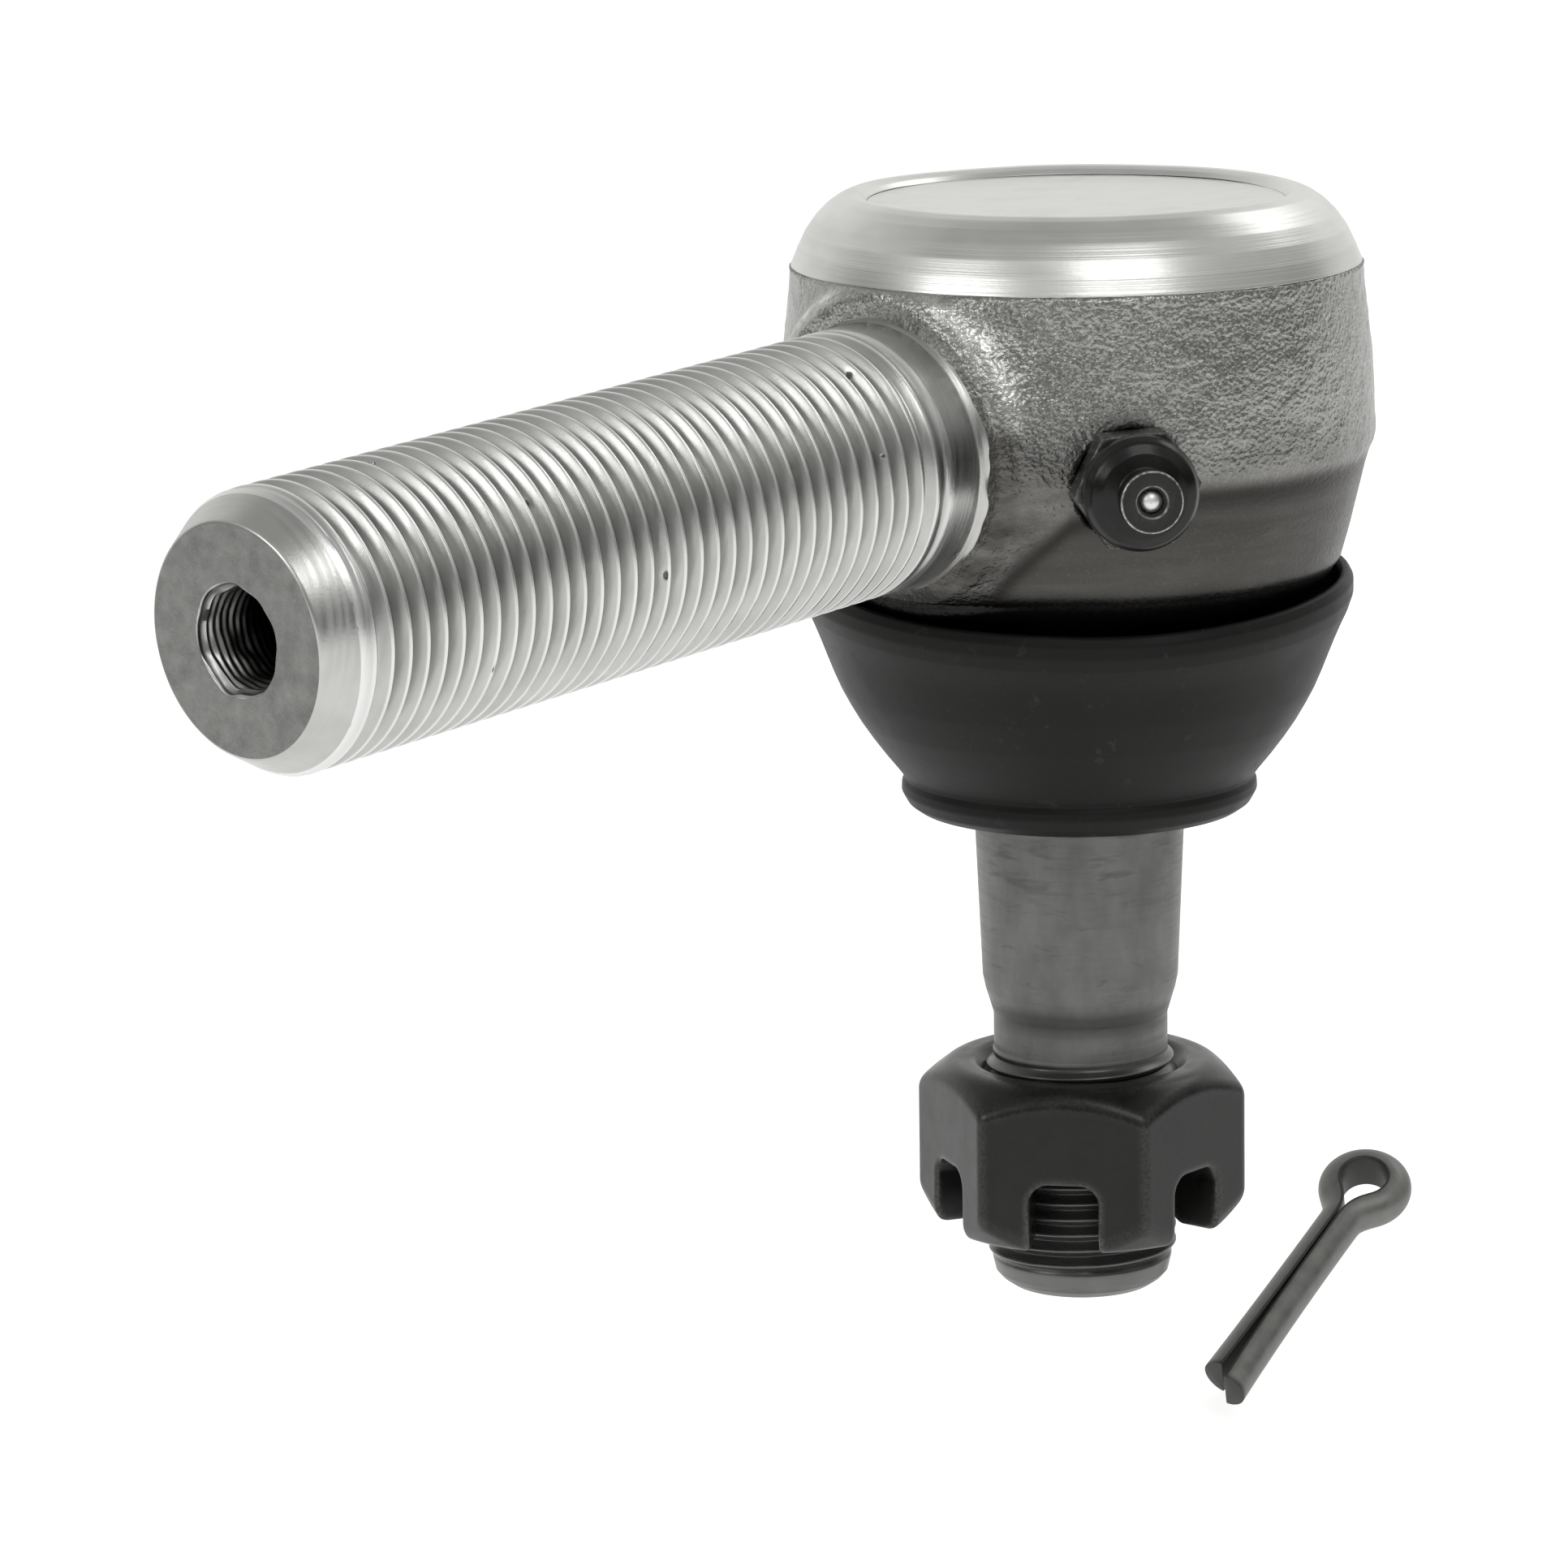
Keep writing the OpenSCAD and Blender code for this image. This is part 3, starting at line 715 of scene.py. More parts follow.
def black_steel(name, edge, shine):
    n = Nodes(name)
    soft = n.even_noise(0.3, 4.0, 0.6)
    grain = n.even_noise(3.0, 2.0)
    # lighter convex edges and rings: worn edges, and on the grease fitting's head a painted highlight along
    # its rims
    worn_edge_and_highlight = n.times(n.attribute("edge"), n.range(grain, 0.35, 0.65, 0.3, 1.0))
    color = n.mix(n.range(soft, 0.3, 0.7), (0.008, 0.008, 0.0077), (0.015, 0.015, 0.0143))
    color = n.mix(n.times(worn_edge_and_highlight, edge), color, (0.60, 0.60, 0.58))
    rough = n.range(soft, 0.3, 0.7, shine, shine + 0.12)
    normal = n.bump(grain, 0.12, 0.06)
    normal = n.bump(soft, 0.10, 0.25, normal)
    return n.set(color=color, metallic=0.3, roughness=rough, specular=0.32, normal=normal)


def pin_steel():
    n = Nodes("pin_steel")
    soft = n.even_noise(0.6, 4.0, 0.6)
    grain = n.even_noise(3.5, 2.0)
    color = n.mix(n.range(soft, 0.3, 0.7), (0.15, 0.15, 0.143), (0.21, 0.21, 0.20))
    color = n.mix(n.times(n.attribute("edge"), 0.4), color, (0.36, 0.36, 0.35))
    # painted shade on the wire's flat inner side, where legs and eye face each other, and darker cut ends
    color = n.mix(n.times(n.attribute("dark"), 0.85), color, (0.03, 0.03, 0.028))
    normal = n.bump(grain, 0.15, 0.06)
    return n.set(color=color, metallic=0.7, roughness=n.range(soft, 0.3, 0.7, 0.40, 0.52), normal=normal)


def bright_steel():
    n = Nodes("bright_steel")
    soft = n.even_noise(1.2, 3.0)
    color = n.mix(n.range(soft, 0.3, 0.7), (0.66, 0.66, 0.65), (0.76, 0.76, 0.75))
    return n.set(color=color, metallic=1.0, roughness=n.range(soft, 0.3, 0.7, 0.38, 0.48),
                 normal=n.bump(soft, 0.05, 0.05))


def rubber():
    n = Nodes("rubber")
    soft = n.even_noise(0.12, 4.0, 0.6)
    grain = n.even_noise(3.5, 2.0)
    dust = n.range(n.even_noise(0.5, 5.0, 0.7, 0.4), 0.60, 0.74)
    specks = n.range(n.cells(n.stretch((0.33, 0.33, 0.33))), 0.02, 0.06, 1.0, 0.0)
    dust = n.math("MAXIMUM", dust, n.times(specks, 0.8))
    color = n.mix(n.range(soft, 0.3, 0.7), (0.0065, 0.0065, 0.0062), (0.0095, 0.0095, 0.009))
    color = n.mix(n.times(dust, 0.16), color, (0.11, 0.11, 0.105))
    rough = n.math("ADD", n.range(soft, 0.3, 0.7, 0.42, 0.52), n.times(dust, 0.15))
    normal = n.bump(grain, 0.10, 0.08)
    normal = n.bump(soft, 0.10, 0.6, normal)
    return n.set(color=color, metallic=0.0, roughness=rough, specular=0.15, normal=normal)


TURNED, RIM, PLATE, FORGED = turned_steel(), rim_steel(), plate_steel(), forged_steel()
FACE, PHOSPHATE, PIN = face_steel(), phosphate_steel(), pin_steel()
BLACK, GLOSS = black_steel("black_steel", 0.10, 0.25), black_steel("gloss_black_steel", 0.85, 0.18)
BRIGHT, RUBBER = bright_steel(), rubber()

# ---------------------------------------------------------------- forged socket

OUTLINE = [
    (0, -19.5), (22.4, -19.5), (24.7, -16.7), (25.7, -15.2), (26.6, -12), (27.4, -8.8), (28.0, -6.2),
    (28.35, -4.9), (28.85, -3.8), (28.95, -2.4), (28.9, -0.5), (28.75, 2.5), (28.5, 5.7), (28.2, 8.4),
    (27.95, 11), (27.8, 13.5), (0, 13.5),
]
CAVITY = [
    (0, -25), (18.5, -20.2), (18.2, -19.5), (15.6, -12.8), (18.5, -12.8), (18.5, 14), (0, 14),
]
outline_field = polygon_field(OUTLINE, (0, -30), (40, 24))
cavity_field = polygon_field(CAVITY, (0, -30), (40, 24))


def forging_field(x, y, z):
    r = np.hypot(x, y)
    body = outline_field(r, z)
    s = x * SHANK_AXIS[0] + z * SHANK_AXIS[2]
    w = np.hypot(y, x * SHANK_UP[0] + z * SHANK_UP[2])
    boss_r = np.interp(s, [8, 21, 25.5, 27.9, 31], [17.2, 16.8, 15.4, 14.55, 14.3])
    boss = smooth_max(w - boss_r, s - 27.95, 0.7)
    boss = smooth_max(boss, 8 - s, 1.0)
    solid = smooth_min(body, boss, 4.2)
    solid = smooth_max(solid, z - 13.5, 0.15)
    solid = smooth_max(solid, -19.5 - z, 0.8)
    lip = np.maximum(25.2 - r, z + 16.1)
    solid = smooth_max(solid, -lip, 0.3)
    solid = np.maximum(solid, -cavity_field(r, z))
    hole_r = np.hypot(x * FITTING_SIDE[0] + y * FITTING_SIDE[1], z - FITTING_Z)
    along = x * FITTING_AXIS[0] + y * FITTING_AXIS[1]
    return smooth_max(solid, -np.maximum(hole_r - 5.3, 20.3 - along), 0.3)


step = 0.33
forging = from_field("forged_body", forging_field, (-30.5, -30.5, -20.5), (30.5, 30.5, 14.5), step)
p = points_of(forging)
radius = np.hypot(p[:, 0], p[:, 1])
turn = np.abs(np.degrees(np.arctan2(p[:, 1], -p[:, 0])))
along_shank = p @ SHANK_AXIS
off_shank = np.hypot(p[:, 1], p @ SHANK_UP)
ledge = np.interp(turn, [16, 22, 28, 39, 50], [-16.5, -14.6, -11.6, -6.8, -4.6])
ledge += 0.5 * (value_noise(p, 9, 3) - 0.5)
low = smooth_step(1.2, -1.8, p[:, 2] - ledge)
# painted shade along the step under the ledge
band = np.exp(-((p[:, 2] - ledge + 1.1) / 1.0) ** 2)
# painted shade low on the housing, next to the boot's lip
painted_lip_shade = smooth_step(-14.2, -16.2, p[:, 2] + 0.8 * (value_noise(p, 5, 31) - 0.5))
around = np.degrees(np.arctan2(p @ SHANK_UP, np.abs(p[:, 1])))
shade = smooth_step(18.6, 14.6, off_shank + 2.0 * (value_noise(p, 4, 32) - 0.5)) * smooth_step(22, 6, around)
shade *= smooth_step(8, 14, along_shank)
shade = np.maximum(shade, 0.86 * smooth_step(4.5, -3.5, p[:, 2]) * smooth_step(66, 50, turn))
above = p[:, 2] - np.maximum(ledge, -12)
shade = np.maximum(shade, 0.5 * smooth_step(6.5, 0.5, above + 1.5 * (value_noise(p, 3, 33) - 0.5)))
outer = (radius > 21) & (p[:, 2] > -19.2) & (p[:, 2] < 13.2)
normal = vectors(forging.data.vertices, "normal")
rough = (value_noise(p, 0.95, 11) - 0.5) * 0.11 + (value_noise(p, 2.4, 12) - 0.5) * 0.10
rough *= (1 - 0.85 * low)
rough += (value_noise(p, 7, 13) - 0.5) * 0.22
# a raised ridge at the shank's root; the material also paints a highlight along it
crease = 15.9 + 0.8 * (value_noise(p, 6, 14) - 0.5)
upper_side = smooth_step(6, 22, around) * smooth_step(80, 60, around)
ridge_and_highlight = np.exp(-((off_shank - crease) / 0.6) ** 2) * upper_side * (along_shank > 15)
rough += 0.30 * ridge_and_highlight
machined = smooth_step(13.4, 13.0, p[:, 2]) * smooth_step(-19.4, -18.6, p[:, 2])
p = p + normal * (rough * outer * machined)[:, None]
move_points(forging, p)
store(forging, "low", low)
store(forging, "band", band * (turn > 12))
store(forging, "painted_lip_shade", painted_lip_shade)
store(forging, "shade", shade)
store(forging, "ridge_and_highlight", ridge_and_highlight * (0.45 + 0.55 * smooth_step(0.3, 0.6, value_noise(p, 0.9, 15))))
crisp(forging, 60)
piece(forging, "socket", ["housing"], FORGED)

# ---------------------------------------------------------------- machined rim, rolled over the cover plate

rim_line = fillet([
    (18.5, 13.35), (27.45, 13.35), (27.66, 13.5), (26.98, 15.15), (26.2, 16.75), (25.2, 18.15),
    (24.1, 19.25), (23.0, 20.0), (22.1, 20.38), (21.3, 20.32), (20.65, 20.0), (20.25, 19.62), (20.2, 19.55),
    (21.5, 19.55), (21.5, 15.8), (18.5, 15.8), (18.5, 13.36),
], [0, 0, 0.1, 1.5, 2.0, 2.0, 2.0, 2.0, 1.2, 1.0, 0.7, 0.1, 0, 0, 0, 0, 0])


def rim_wobble(r, z, a):
    wave = 0.05 * np.sin(3 * a + 0.7) + 0.03 * np.sin(7 * a + 1.9)
    return r + wave * smooth_step(16, 19, z), z + wave * 0.6 * smooth_step(17, 20, z)


rim = revolve("rolled_rim", rim_line[:-1], 320, closed=True, wobble=rim_wobble)
crisp(rim, 40)
piece(rim, "socket", [], RIM)

# ---------------------------------------------------------------- shank with its thread


def shank_outside(s):
    crest = np.minimum(SHANK_R, SHANK_R - (s - 107.3) * (2.25 / 3.6))
    fade = smooth_step(32.6, 38.2, s) * smooth_step(107.9, 104.4, s)
    return crest, 1.28 * fade


SHANK_SHAPE = [(0.0, 1.0), (0.045, 0.99), (0.075, 0.93), (0.10, 0.865), (0.20, 0.60), (0.30, 0.34),
               (0.37, 0.155), (0.405, 0.065), (0.425, 0.022), (0.445, 0.003), (0.465, 0.0), (0.535, 0.0),
               (0.555, 0.003), (0.575, 0.022), (0.595, 0.065), (0.63, 0.155), (0.70, 0.34), (0.80, 0.60),
               (0.90, 0.865), (0.925, 0.93), (0.955, 0.99)]
shank_before = fillet([
    (0, 26.0), (13.0, 26.0), (13.2, 28.2), (12.98, 28.55), (12.72, 29.1), (SHANK_R, 29.9),
    (SHANK_R, 32.54), (SHANK_R, 32.6),
], [0, 0, 0.12, 0.3, 0.5, 0.5, 0, 0])
hole_wall = [(4.72 - 0.02 * k + 0.08 * math.cos(math.pi * k), 110.4 - 0.36 * k) for k in range(1, 22)]
shank_after = np.concatenate([
    fillet([(SHANK_R - 0.7 * 0.625, 108.0), (SHANK_R - 0.76 * 0.625, 108.06), (10.45, 111.0), (4.95, 111.0),
            (4.9, 110.4)],
           [0, 0, 0.5, 0.5, 0]),
    fillet(hole_wall, 0.18),
    [(4.3, 102.4), (4.25, 97.3), (0, 94.8)],
])
shank_sides = 256
shank = threaded("threaded_shank", shank_before, shank_after, 32.6, 108.0, SHANK_PITCH, SHANK_SHAPE,
                 shank_sides, shank_outside, np.zeros(3), SHANK_AXIS, SHANK_SIDE, SHANK_UP)
p = points_of(shank)
s = p @ SHANK_AXIS
w = p - s[:, None] * SHANK_AXIS
radial = np.linalg.norm(w, axis=1)
unit = w / np.maximum(radial, 1e-6)[:, None]
edge_wave = (value_noise(p + [0, 0, 50], 2.2, 21) - 0.5) * 0.55
edge_wave = edge_wave * smooth_step(28.6, 28.1, s) * smooth_step(12.5, 12.9, radial)
nick = np.zeros(len(p))
for at, turn_at, length, size in [
    (39.2, 122, 0.5, 0.22), (42.6, 165, 1.5, 0.20), (52.5, 158, 0.5, 0.16), (63.0, 96, 0.35, 0.14),
    (71, 186, 0.5, 0.16), (84, 140, 0.35, 0.14), (92, 205, 0.4, 0.14), (58, 215, 0.4, 0.14),
    (77, 60, 0.5, 0.16), (49, 20, 0.5, 0.16), (46.2, 172, 0.3, 0.12), (67.5, 150, 0.3, 0.12),
    (55.0, 118, 0.3, 0.12), (97, 150, 0.3, 0.12), (81, 176, 0.3, 0.12),
]:
    angle = np.degrees(np.arctan2(w @ SHANK_UP, w @ SHANK_SIDE)) % 360
    across = (s - at) / size
    round_it = ((angle - turn_at + 180) % 360 - 180) * math.pi / 180 * SHANK_R / length
    nick += np.exp(-(across ** 2 + round_it ** 2) * 1.5) * (radial > 11)
hole_wave = 0.5 * (value_noise(p, 1.8, 22) - 0.5) * (radial < 5.6) * (s > 97.5)
p = p + unit * (edge_wave + hole_wave - 0.25 * nick)[:, None]
move_points(shank, p)
store(shank, "plain", ((s < 36.5) | (s > 106.5)).astype(float))
store(shank, "nick", np.clip(nick, 0, 1))
# painted shade inside the centre hole, darker further in
store(shank, "inside", smooth_step(110.2, 104.5, s) * (radial < 5.4) * (s > 94))
crisp(shank, 50)
piece(shank, "socket", [], TURNED)
shank.data.materials.append(FACE)
centres = vectors(shank.data.polygons, "center") / MM
cs = centres @ SHANK_AXIS
cr = np.linalg.norm(centres - cs[:, None] * SHANK_AXIS, axis=1)
face_index = ((cs > 110.93) & (cr < 10.3) & (cr > 5.0)).astype(np.int32)
shank.data.polygons.foreach_set("material_index", face_index)

# ---------------------------------------------------------------- cover plate

plate_line = fillet([
    (0, 19.42), (17.9, 19.42), (18.6, 19.5), (21.4, 19.5), (21.4, 15.85), (0, 15.85),
], [0, 1.2, 0.8, 0.1, 0.1, 0])
plate = revolve("cover_disc", plate_line, 256)
crisp(plate, 40)
piece(plate, "socket", ["cover_plate"], PLATE)

# ---------------------------------------------------------------- ball stud

STUD_SHAPE = [(0.0, 1.0), (0.06, 0.97), (0.2, 0.68), (0.34, 0.34), (0.44, 0.06), (0.49, 0.0), (0.55, 0.0),
              (0.60, 0.06), (0.70, 0.34), (0.84, 0.68), (0.94, 0.97)]


def stud_outside(s):
    crest = np.interp(s, [85.2, 86.2, 87.6], [STUD_R, 8.95, STUD_ROOT])
    fade = smooth_step(64.6, 66.2, s) * smooth_step(86.4, 85.2, s)
    rise = smooth_step(64.6, 66.2, s)
    return STUD_ROOT + (crest - STUD_ROOT) * rise, 0.88 * fade


BALL_R, BALL_FLAT = 15, 13.4
ball_turns = np.linspace(math.acos(BALL_FLAT / BALL_R), math.pi / 2 - 0.004, 40)
ball = [(BALL_R * math.sin(t), -BALL_R * math.cos(t)) for t in ball_turns]
stud_before = [(0, -BALL_FLAT)] + ball + fillet([
    (ball[-1][0], -0.05), (9.2, -0.05), (9.2, 22), (10.98, 26), (10.98 - 31.4 / 24, 57.4), (9.4, 58.7),
    (9.0, 60.0), (STUD_ROOT, 61.3), (STUD_ROOT, 64.54), (STUD_ROOT, 64.6),
], [0, 0, 1.2, 1.5, 1.6, 1.2, 0.8, 0.8, 0, 0]).tolist()[1:]
stud_after = fillet([(STUD_ROOT, 87.6), (8.57, 87.65), (8.1, 88.2), (7.1, 88.9), (6.0, 89.0), (0, 89.0)],
                    [0, 0, 0.7, 0.8, 0.5, 0])
stud = threaded("ball_pin", stud_before, stud_after, 64.6, 87.6, STUD_PITCH, STUD_SHAPE,
                224, stud_outside, np.zeros(3), np.array([0, 0, -1.0]),
                np.array([1.0, 0, 0]), np.array([0, -1.0, 0]))
hole_turn = NUT_TURN + math.pi / 2
hole_axis = np.array([math.cos(hole_turn), math.sin(hole_turn), 0])
COTTER_HOLE_R, COTTER_HOLE_Z = 2.2, -79.2
drill = revolve("drill", [(0, -16), (COTTER_HOLE_R, -16), (COTTER_HOLE_R, 16), (0, 16)], 48,
                origin=(0, 0, COTTER_HOLE_Z), axis=hole_axis,
                side=(-hole_axis[1], hole_axis[0], 0), upward=(0, 0, 1))
cut(stud, drill)
smooth_all(stud)
crisp(stud, 50)
piece(stud, "stud", ["ball_stud"], PHOSPHATE)

# ---------------------------------------------------------------- castle nut

NUT_TOP, NUT_LOW, NUT_HALF_FLAT = -66.0, -82.5, 14.2875
SLOT_HALF, SLOT_DEEP, SLOT_ROUND = 3.4, 6.9, 1.9
FLATS = [(math.cos(a), math.sin(a)) for a in (math.radians(33 + 60 * k) for k in range(3))]


def nut_field(x, y, z):
    r = np.hypot(x, y)
    d = np.full(x.shape, -99.0)
    for nx, ny in FLATS:
        d = smooth_max(d, np.abs(x * nx + y * ny) - NUT_HALF_FLAT, 0.6)
    top = (r - 12.9) * 0.612 + (z - NUT_TOP) * 0.791
    bottom = (r - 14.0) * 0.735 - (z - NUT_LOW) * 0.678
    d = smooth_max(d, top, 0.8)
    d = smooth_max(d, bottom, 0.7)
    d = smooth_max(d, z - NUT_TOP, 0.5)
    d = smooth_max(d, NUT_LOW - z, 0.5)
    for nx, ny in FLATS:
        across = np.abs(-x * ny + y * nx) - SLOT_HALF
        deep = z - (NUT_LOW + SLOT_DEEP)
        corner = np.hypot(np.maximum(across + SLOT_ROUND, 0), np.maximum(deep + SLOT_ROUND, 0)) - SLOT_ROUND
        slot = np.where((across > -SLOT_ROUND) & (deep > -SLOT_ROUND), corner, np.maximum(across, deep))
        d = smooth_max(d, -slot, 0.55)
    phase = ((-z - 66.8875) / STUD_PITCH - np.arctan2(-y, x) / (2 * math.pi)) % 1.0
    depth = np.clip(np.abs(phase - 0.5) / 0.44, 0, 1)
    thread = r - (9.55 - 0.85 * depth)
    top_chamfer, low_chamfer = (r - 10.7 + (NUT_TOP - z)) * 0.7, (r - 10.15 - (NUT_LOW - z)) * 0.7
    hole = smooth_min(thread * 0.7, np.minimum(top_chamfer, low_chamfer), 0.3)
    return smooth_max(d, -hole, 0.35)


nut = from_field("castle_nut_body", nut_field, (-17.5, -17.5, -83.5), (17.5, 17.5, -65),
                 0.2)
store(nut, "edge", convexity(nut, 0.9))
piece(nut, "nut", ["castle_nut"], BLACK)

# ---------------------------------------------------------------- grease fitting

HEX_TURN, HEX_HALF_FLAT, HEX_FRONT = math.radians(34), 5.30, 32.4


def fitting_field(x, y, z):
    """The fitting's hexagon and stem. x runs outwards along its axis."""
    r = np.hypot(y, z)
    hexagon = np.full(x.shape, -99.0)
    for k in range(3):
        a = HEX_TURN + k * math.pi / 3
        hexagon = smooth_max(hexagon, np.abs(y * math.cos(a) + z * math.sin(a)) - HEX_HALF_FLAT, 0.2)
    hexagon = smooth_max(hexagon, (r - 5.7) * 0.55 + (x - HEX_FRONT) * 0.83, 0.25)
    hexagon = smooth_max(hexagon, np.maximum(29.2 - x, x - HEX_FRONT), 0.25)
    stem = np.maximum(np.maximum(r - 5.05, 20.5 - x), x - 30)
    return np.maximum(np.minimum(hexagon, stem), 0.9 - r)


fitting = from_field("grease_fitting_body", fitting_field, (19.8, -7, -7), (33.6, 7, 7),
                     0.13)
store(fitting, "edge", 0.25 * convexity(fitting, 0.5))
p = points_of(fitting)
p = p[:, :1] * FITTING_AXIS + p[:, 1:2] * FITTING_SIDE + p[:, 2:] * FITTING_UP + np.array([0, 0, FITTING_Z])
move_points(fitting, p)
piece(fitting, "socket", ["grease_fitting"], GLOSS)

nipple_line = fillet([
    (5.3, 32.0), (5.45, 33.2), (5.4, 34.2), (4.95, 35.0), (4.0, 35.6), (2.6, 35.95), (2.5, 36.5),
    (2.65, 37.1), (2.95, 37.6), (2.98, 38.6), (2.93, 39.05), (2.78, 39.2), (1.5, 39.2), (1.38, 38.95),
    (1.14, 38.6), (1.12, 38.38), (1.42, 38.2), (1.42, 33.1), (0.95, 32.4),
], [0, 0.3, 0.8, 0.8, 0.6, 0.3, 0.3, 0.3, 0.3, 0.2, 0.12, 0.1, 0.08, 0.15, 0.05, 0.05, 0.05, 0, 0])
nipple = revolve("grease_nipple", nipple_line, 160, origin=(0, 0, FITTING_Z), axis=FITTING_AXIS,
                 side=FITTING_SIDE, upward=FITTING_UP, closed=True)
p = points_of(nipple) - np.array([0, 0, FITTING_Z])
along = p @ FITTING_AXIS
r = np.hypot(p @ FITTING_SIDE, p[:, 2])
# thin bright rings at the head's outer edge and round its hole: a painted highlight, with some wear
ring = np.exp(-((r - 2.86) / 0.075) ** 2) * (along > 39.02)
ring += 0.8 * np.exp(-((r - 1.48) / 0.07) ** 2) * (along > 38.9)
store(nipple, "edge", np.clip(ring, 0, 1))
crisp(nipple, 50)
piece(nipple, "socket", [], GLOSS)

# ---------------------------------------------------------------- rubber boot

BOOT_ROUNDING = [0, 0.8, 0.8, 0.6, 0.4, 0.35, 0.6] + [6.0] * 9 + [3.0, 1.2, 0.7, 0.5, 0.4, 0.5, 1.0]
BOOT_ROUNDING += [6.0] * 10 + [1.0, 1.0, 0.4, 0.3, 0]
boot_line = fillet([
    (9.95, -40.25), (15.9, -40.3), (16.9, -39.6), (17.5, -38.5), (17.45, -37.7), (17.15, -37.1),
    (17.9, -36.1), (19.2, -34.5), (20.4, -32.9), (21.5, -31.3), (22.5, -29.6), (23.3, -28.1),
    (24.04, -26.4), (24.7, -24.7), (25.3, -23.1), (25.9, -21.6), (26.55, -20.1), (27.05, -18.6),
    (27.05, -17.3), (26.6, -16.45), (26.0, -16.4), (25.6, -17.0), (25.45, -18.6), (25.0, -20.1),
    (24.4, -21.6), (23.8, -23.1), (23.2, -24.7), (22.5, -26.4), (21.8, -28.1), (21.0, -29.7), (20.0, -31.4),
    (18.9, -33.1), (17.7, -34.7), (16.4, -36.2), (15.6, -36.7), (10.05, -36.8), (9.95, -40.2),
], BOOT_ROUNDING)
boot_line[:, 0] = np.maximum(boot_line[:, 0], 10.42)


LIP_SAG, SAG_TURN = 2.4, math.radians(223)


def boot_wobble(r, z, a):
    wave = 0.10 * np.sin(2 * a + 0.5) + 0.07 * np.sin(5 * a + 2.0) + 0.04 * np.sin(9 * a)
    k = smooth_step(-38, -24, z)
    sag = np.maximum(np.cos(a - SAG_TURN), 0) ** 1.4
    return r + wave * k, z + (0.8 * wave - LIP_SAG * sag) * smooth_step(-26, -18.5, z)


boot = revolve("rubber_boot", boot_line[:-1], 288, closed=True, wobble=boot_wobble)
boot.data.materials.append(RUBBER)
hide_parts("dust_boot")
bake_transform(boot)

# ---------------------------------------------------------------- cotter pin

WIRE = 2.15
LEG_GAP = 0.08


def pin_path(sign, length, spread):
    """The flat side's line of one leg, from its tip to the neck: (x, y) in the pin's own plane."""
    t = np.linspace(0, 1, 40)
    x = -length * (1 - t)
    y = sign * (LEG_GAP + spread * (1 - t) ** 2.5)
    return np.stack([x, y], 1)


eye_r, bend_r = 2.42, 4.5
eye_x = math.sqrt((eye_r + bend_r) ** 2 - (LEG_GAP + bend_r) ** 2)
bend_angle = math.atan2(LEG_GAP + bend_r, eye_x)
upper = pin_path(1, 23.5, 0.25)
lower = pin_path(-1, 24.7, 0.55)[::-1]
b = np.linspace(0, math.pi / 2 - bend_angle, 14)[1:]
bend_up = np.stack([bend_r * np.sin(b), LEG_GAP + bend_r - bend_r * np.cos(b)], 1)
g = np.linspace(math.pi - bend_angle, -math.pi + bend_angle, 60)[1:-1]
eye = np.stack([eye_x + eye_r * np.cos(g), eye_r * np.sin(g)], 1)
bend_down = (bend_up * [1, -1])[::-1]
line = np.concatenate([upper, bend_up, eye, bend_down, lower])


def relax(points, rounds):
    points = points.copy()
    for _ in range(rounds):
        points[1:-1] = points[1:-1] * 0.5 + (points[:-2] + points[2:]) * 0.25
    return points


line = relax(line, 6)
tangent = np.gradient(line, axis=0)
tangent /= np.linalg.norm(tangent, axis=1)[:, None]
outward = np.stack([-tangent[:, 1], tangent[:, 0]], 1)
half = np.linspace(-90, 90, 21)
section = [(WIRE * math.cos(math.radians(t)), WIRE * math.sin(math.radians(t))) for t in half]
section = fillet([(0.0, -WIRE * 0.2)] + [(0.0, -WIRE)] + section[1:-1] + [(0.0, WIRE), (0.0, WIRE * 0.2)],
                 [0, 0.22] + [0] * 19 + [0.22, 0], guard=0.05)
closing = np.stack([np.zeros(3), np.linspace(WIRE * 0.1, -WIRE * 0.1, 3)], 1)
section = np.concatenate([section, closing])
rows, dark = [], []
count = len(line)
for i in range(count):
    thick = 1 + 0.13 * smooth_step(0, 3, line[i, 0])
    for u, v in section:
        rows.append((*(line[i] + outward[i] * u * thick), v))
        # painted shade on the wire's flat inner side, and darker cut ends
        dark.append(1.0 if u < 0.25 or i in (0, count - 1) else 0.0)
rows = np.array(rows)
sides = len(section)
quads = grid_faces(count, sides)
caps = []
for end, bulge in ((0, -0.25), (count - 1, 0.25)):
    middle = np.array([*(line[end] + outward[end] * WIRE * 0.45), 0.0]) + np.array([*tangent[end], 0]) * bulge
    rows = np.concatenate([rows, middle[None]])
    caps += [(len(rows) - 1, end * sides + i, end * sides + (i + 1) % sides) for i in range(sides)]
pin = make_mesh("cotter_wire", rows, quads, caps)


def turn_matrix(axis, degrees):
    return np.array(Matrix.Rotation(math.radians(degrees), 3, axis))


PIN_HEADING, PIN_LEAN, PIN_TURN, PIN_AT = -57, 33.6, 64.8, (33.5, -6.9, -88.8)
pin_turn = turn_matrix("Z", PIN_HEADING) @ turn_matrix("X", PIN_LEAN) @ turn_matrix("Z", PIN_TURN)
p = (points_of(pin) - [0.6, 0, 0]) @ pin_turn.T + np.array(PIN_AT)
move_points(pin, p)
face_out(pin)
clean(pin, weld=False)
crisp(pin, 50)
store(pin, "edge", convexity(pin, 0.25))
store(pin, "dark", np.array(dark + [1.0, 1.0]))
piece(pin, "pin", ["cotter_pin"], PIN)

# ---------------------------------------------------------------- finishes of the CAD parts that stay

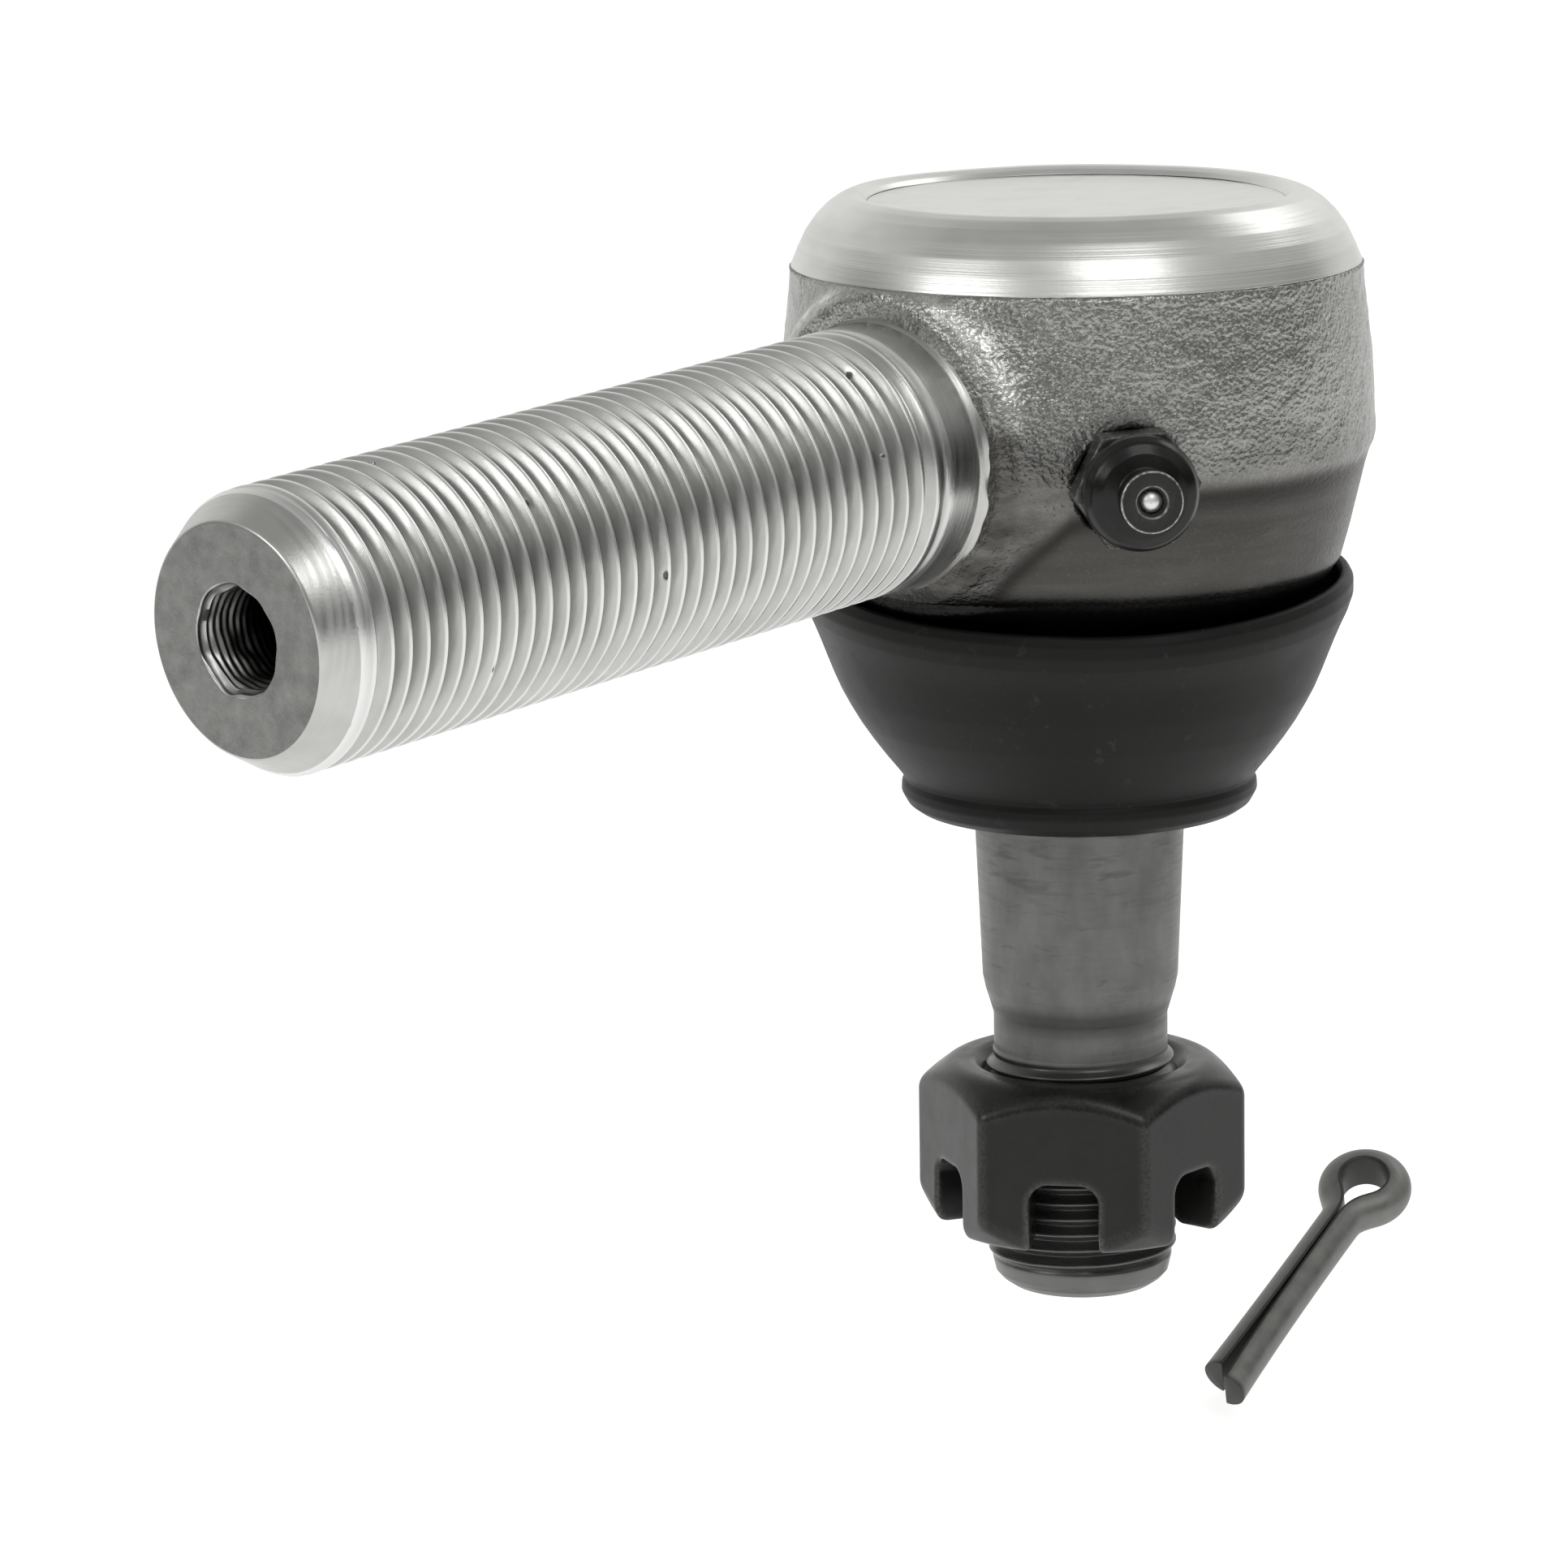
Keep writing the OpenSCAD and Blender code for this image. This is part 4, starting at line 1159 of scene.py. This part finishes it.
FINISHES = {"lower_seat": BRIGHT, "half_ball": BRIGHT, "pressure_seat": BRIGHT, "disc_spring": BRIGHT,
            "seal_ring": RUBBER, "check_ball": BRIGHT, "boot_ring": BLACK}
for name, material in FINISHES.items():
    coat(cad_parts[name], material)

# a copy of the check spring, with a mesh of its own, rides on the socket
coil = bpy.data.objects.new("check_coil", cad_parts["check_spring"].data.copy())
bpy.context.scene.collection.objects.link(coil)
piece(coil, "socket", ["check_spring"], BRIGHT)
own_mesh(coil)

# ---------------------------------------------------------------- floor, light

floor = make_mesh("floor", [(-9000, -9000, 0), (9000, -9000, 0), (9000, 9000, 0), (-9000, 9000, 0)],
                  [(0, 1, 2, 3)])
FLOOR_Z = -0.1055
floor.location.z = FLOOR_Z
white = Nodes("floor_white")
white_tone = white.even_noise(0.002, 2.0)
pale = white.mix(white_tone, (0.92, 0.92, 0.92), (0.93, 0.93, 0.93))
floor.data.materials.append(white.set(color=pale, roughness=0.9, specular=0.1, glow=(1.0, 1.0, 1.0),
                                      glow_strength=0.5))

world = bpy.data.worlds.new("studio")
bpy.context.scene.world = world
world.use_nodes = True
tree = world.node_tree
sky = tree.nodes["Background"]
direction = tree.nodes.new("ShaderNodeTexCoord").outputs["Generated"]
split = tree.nodes.new("ShaderNodeSeparateXYZ")
tree.links.new(direction, split.inputs[0])


def sky_ramp(stops):
    """Brightness of the studio by height above the horizon."""
    ramp = tree.nodes.new("ShaderNodeValToRGB")
    tree.links.new(split.outputs["Z"], ramp.inputs[0])
    ramp.color_ramp.interpolation = "EASE"
    while len(ramp.color_ramp.elements) < len(stops):
        ramp.color_ramp.elements.new(0.5)
    for element, (at, value) in zip(ramp.color_ramp.elements, stops):
        element.position = at
        element.color = (value, value, value * 0.985, 1)
    return ramp.outputs[0]


front_sky = sky_ramp([(0.0, 0.03), (0.16, 0.05), (0.34, 0.36), (0.6, 0.66), (0.85, 0.46), (1.0, 0.42)])
rear_sky = sky_ramp([(0.0, 0.92), (0.2, 1.0), (0.45, 0.95), (0.7, 0.78), (0.9, 0.66), (1.0, 0.6)])
facing = tree.nodes.new("ShaderNodeVectorMath")
facing.operation = "DOT_PRODUCT"
tree.links.new(direction, facing.inputs[0])
facing.inputs[1].default_value = (0.731, 0.682, 0)
rear = tree.nodes.new("ShaderNodeMapRange")
rear.interpolation_type = "SMOOTHSTEP"
tree.links.new(facing.outputs["Value"], rear.inputs["Value"])
rear.inputs["From Min"].default_value = 0.2
rear.inputs["From Max"].default_value = 0.7
blend = tree.nodes.new("ShaderNodeMix")
blend.data_type = "RGBA"
tree.links.new(rear.outputs["Result"], blend.inputs["Factor"])
tree.links.new(front_sky, blend.inputs["A"])
tree.links.new(rear_sky, blend.inputs["B"])
tree.links.new(blend.outputs["Result"], sky.inputs["Color"])
sky.inputs["Strength"].default_value = 1.0


def softbox(name, azimuth, elevation, distance, width, height, power):
    """A square soft light that faces the socket, placed by its direction from there."""
    away = direction_to(math.radians(azimuth), math.radians(elevation))
    lamp = bpy.data.lights.new(name, "AREA")
    lamp.shape = "RECTANGLE"
    lamp.size, lamp.size_y = width, height
    lamp.energy = power
    obj = bpy.data.objects.new(name, lamp)
    bpy.context.scene.collection.objects.link(obj)
    z = away
    x = np.cross([0, 0, 1], z)
    x /= np.linalg.norm(x)
    y = np.cross(z, x)
    at = away * distance
    obj.matrix_world = Matrix([[x[i], y[i], z[i], at[i]] for i in range(3)] + [[0, 0, 0, 1]])
    obj.visible_camera = False


softbox("key_left", -38, 46, 1.1, 0.26, 0.42, 1.2)
softbox("key_right", -16, 46, 1.1, 0.20, 0.42, 1.0)
softbox("side_right", 82, 42, 1.2, 0.6, 0.34, 1.3)
softbox("side_left", -100, 25, 1.2, 0.6, 0.3, 2.6)
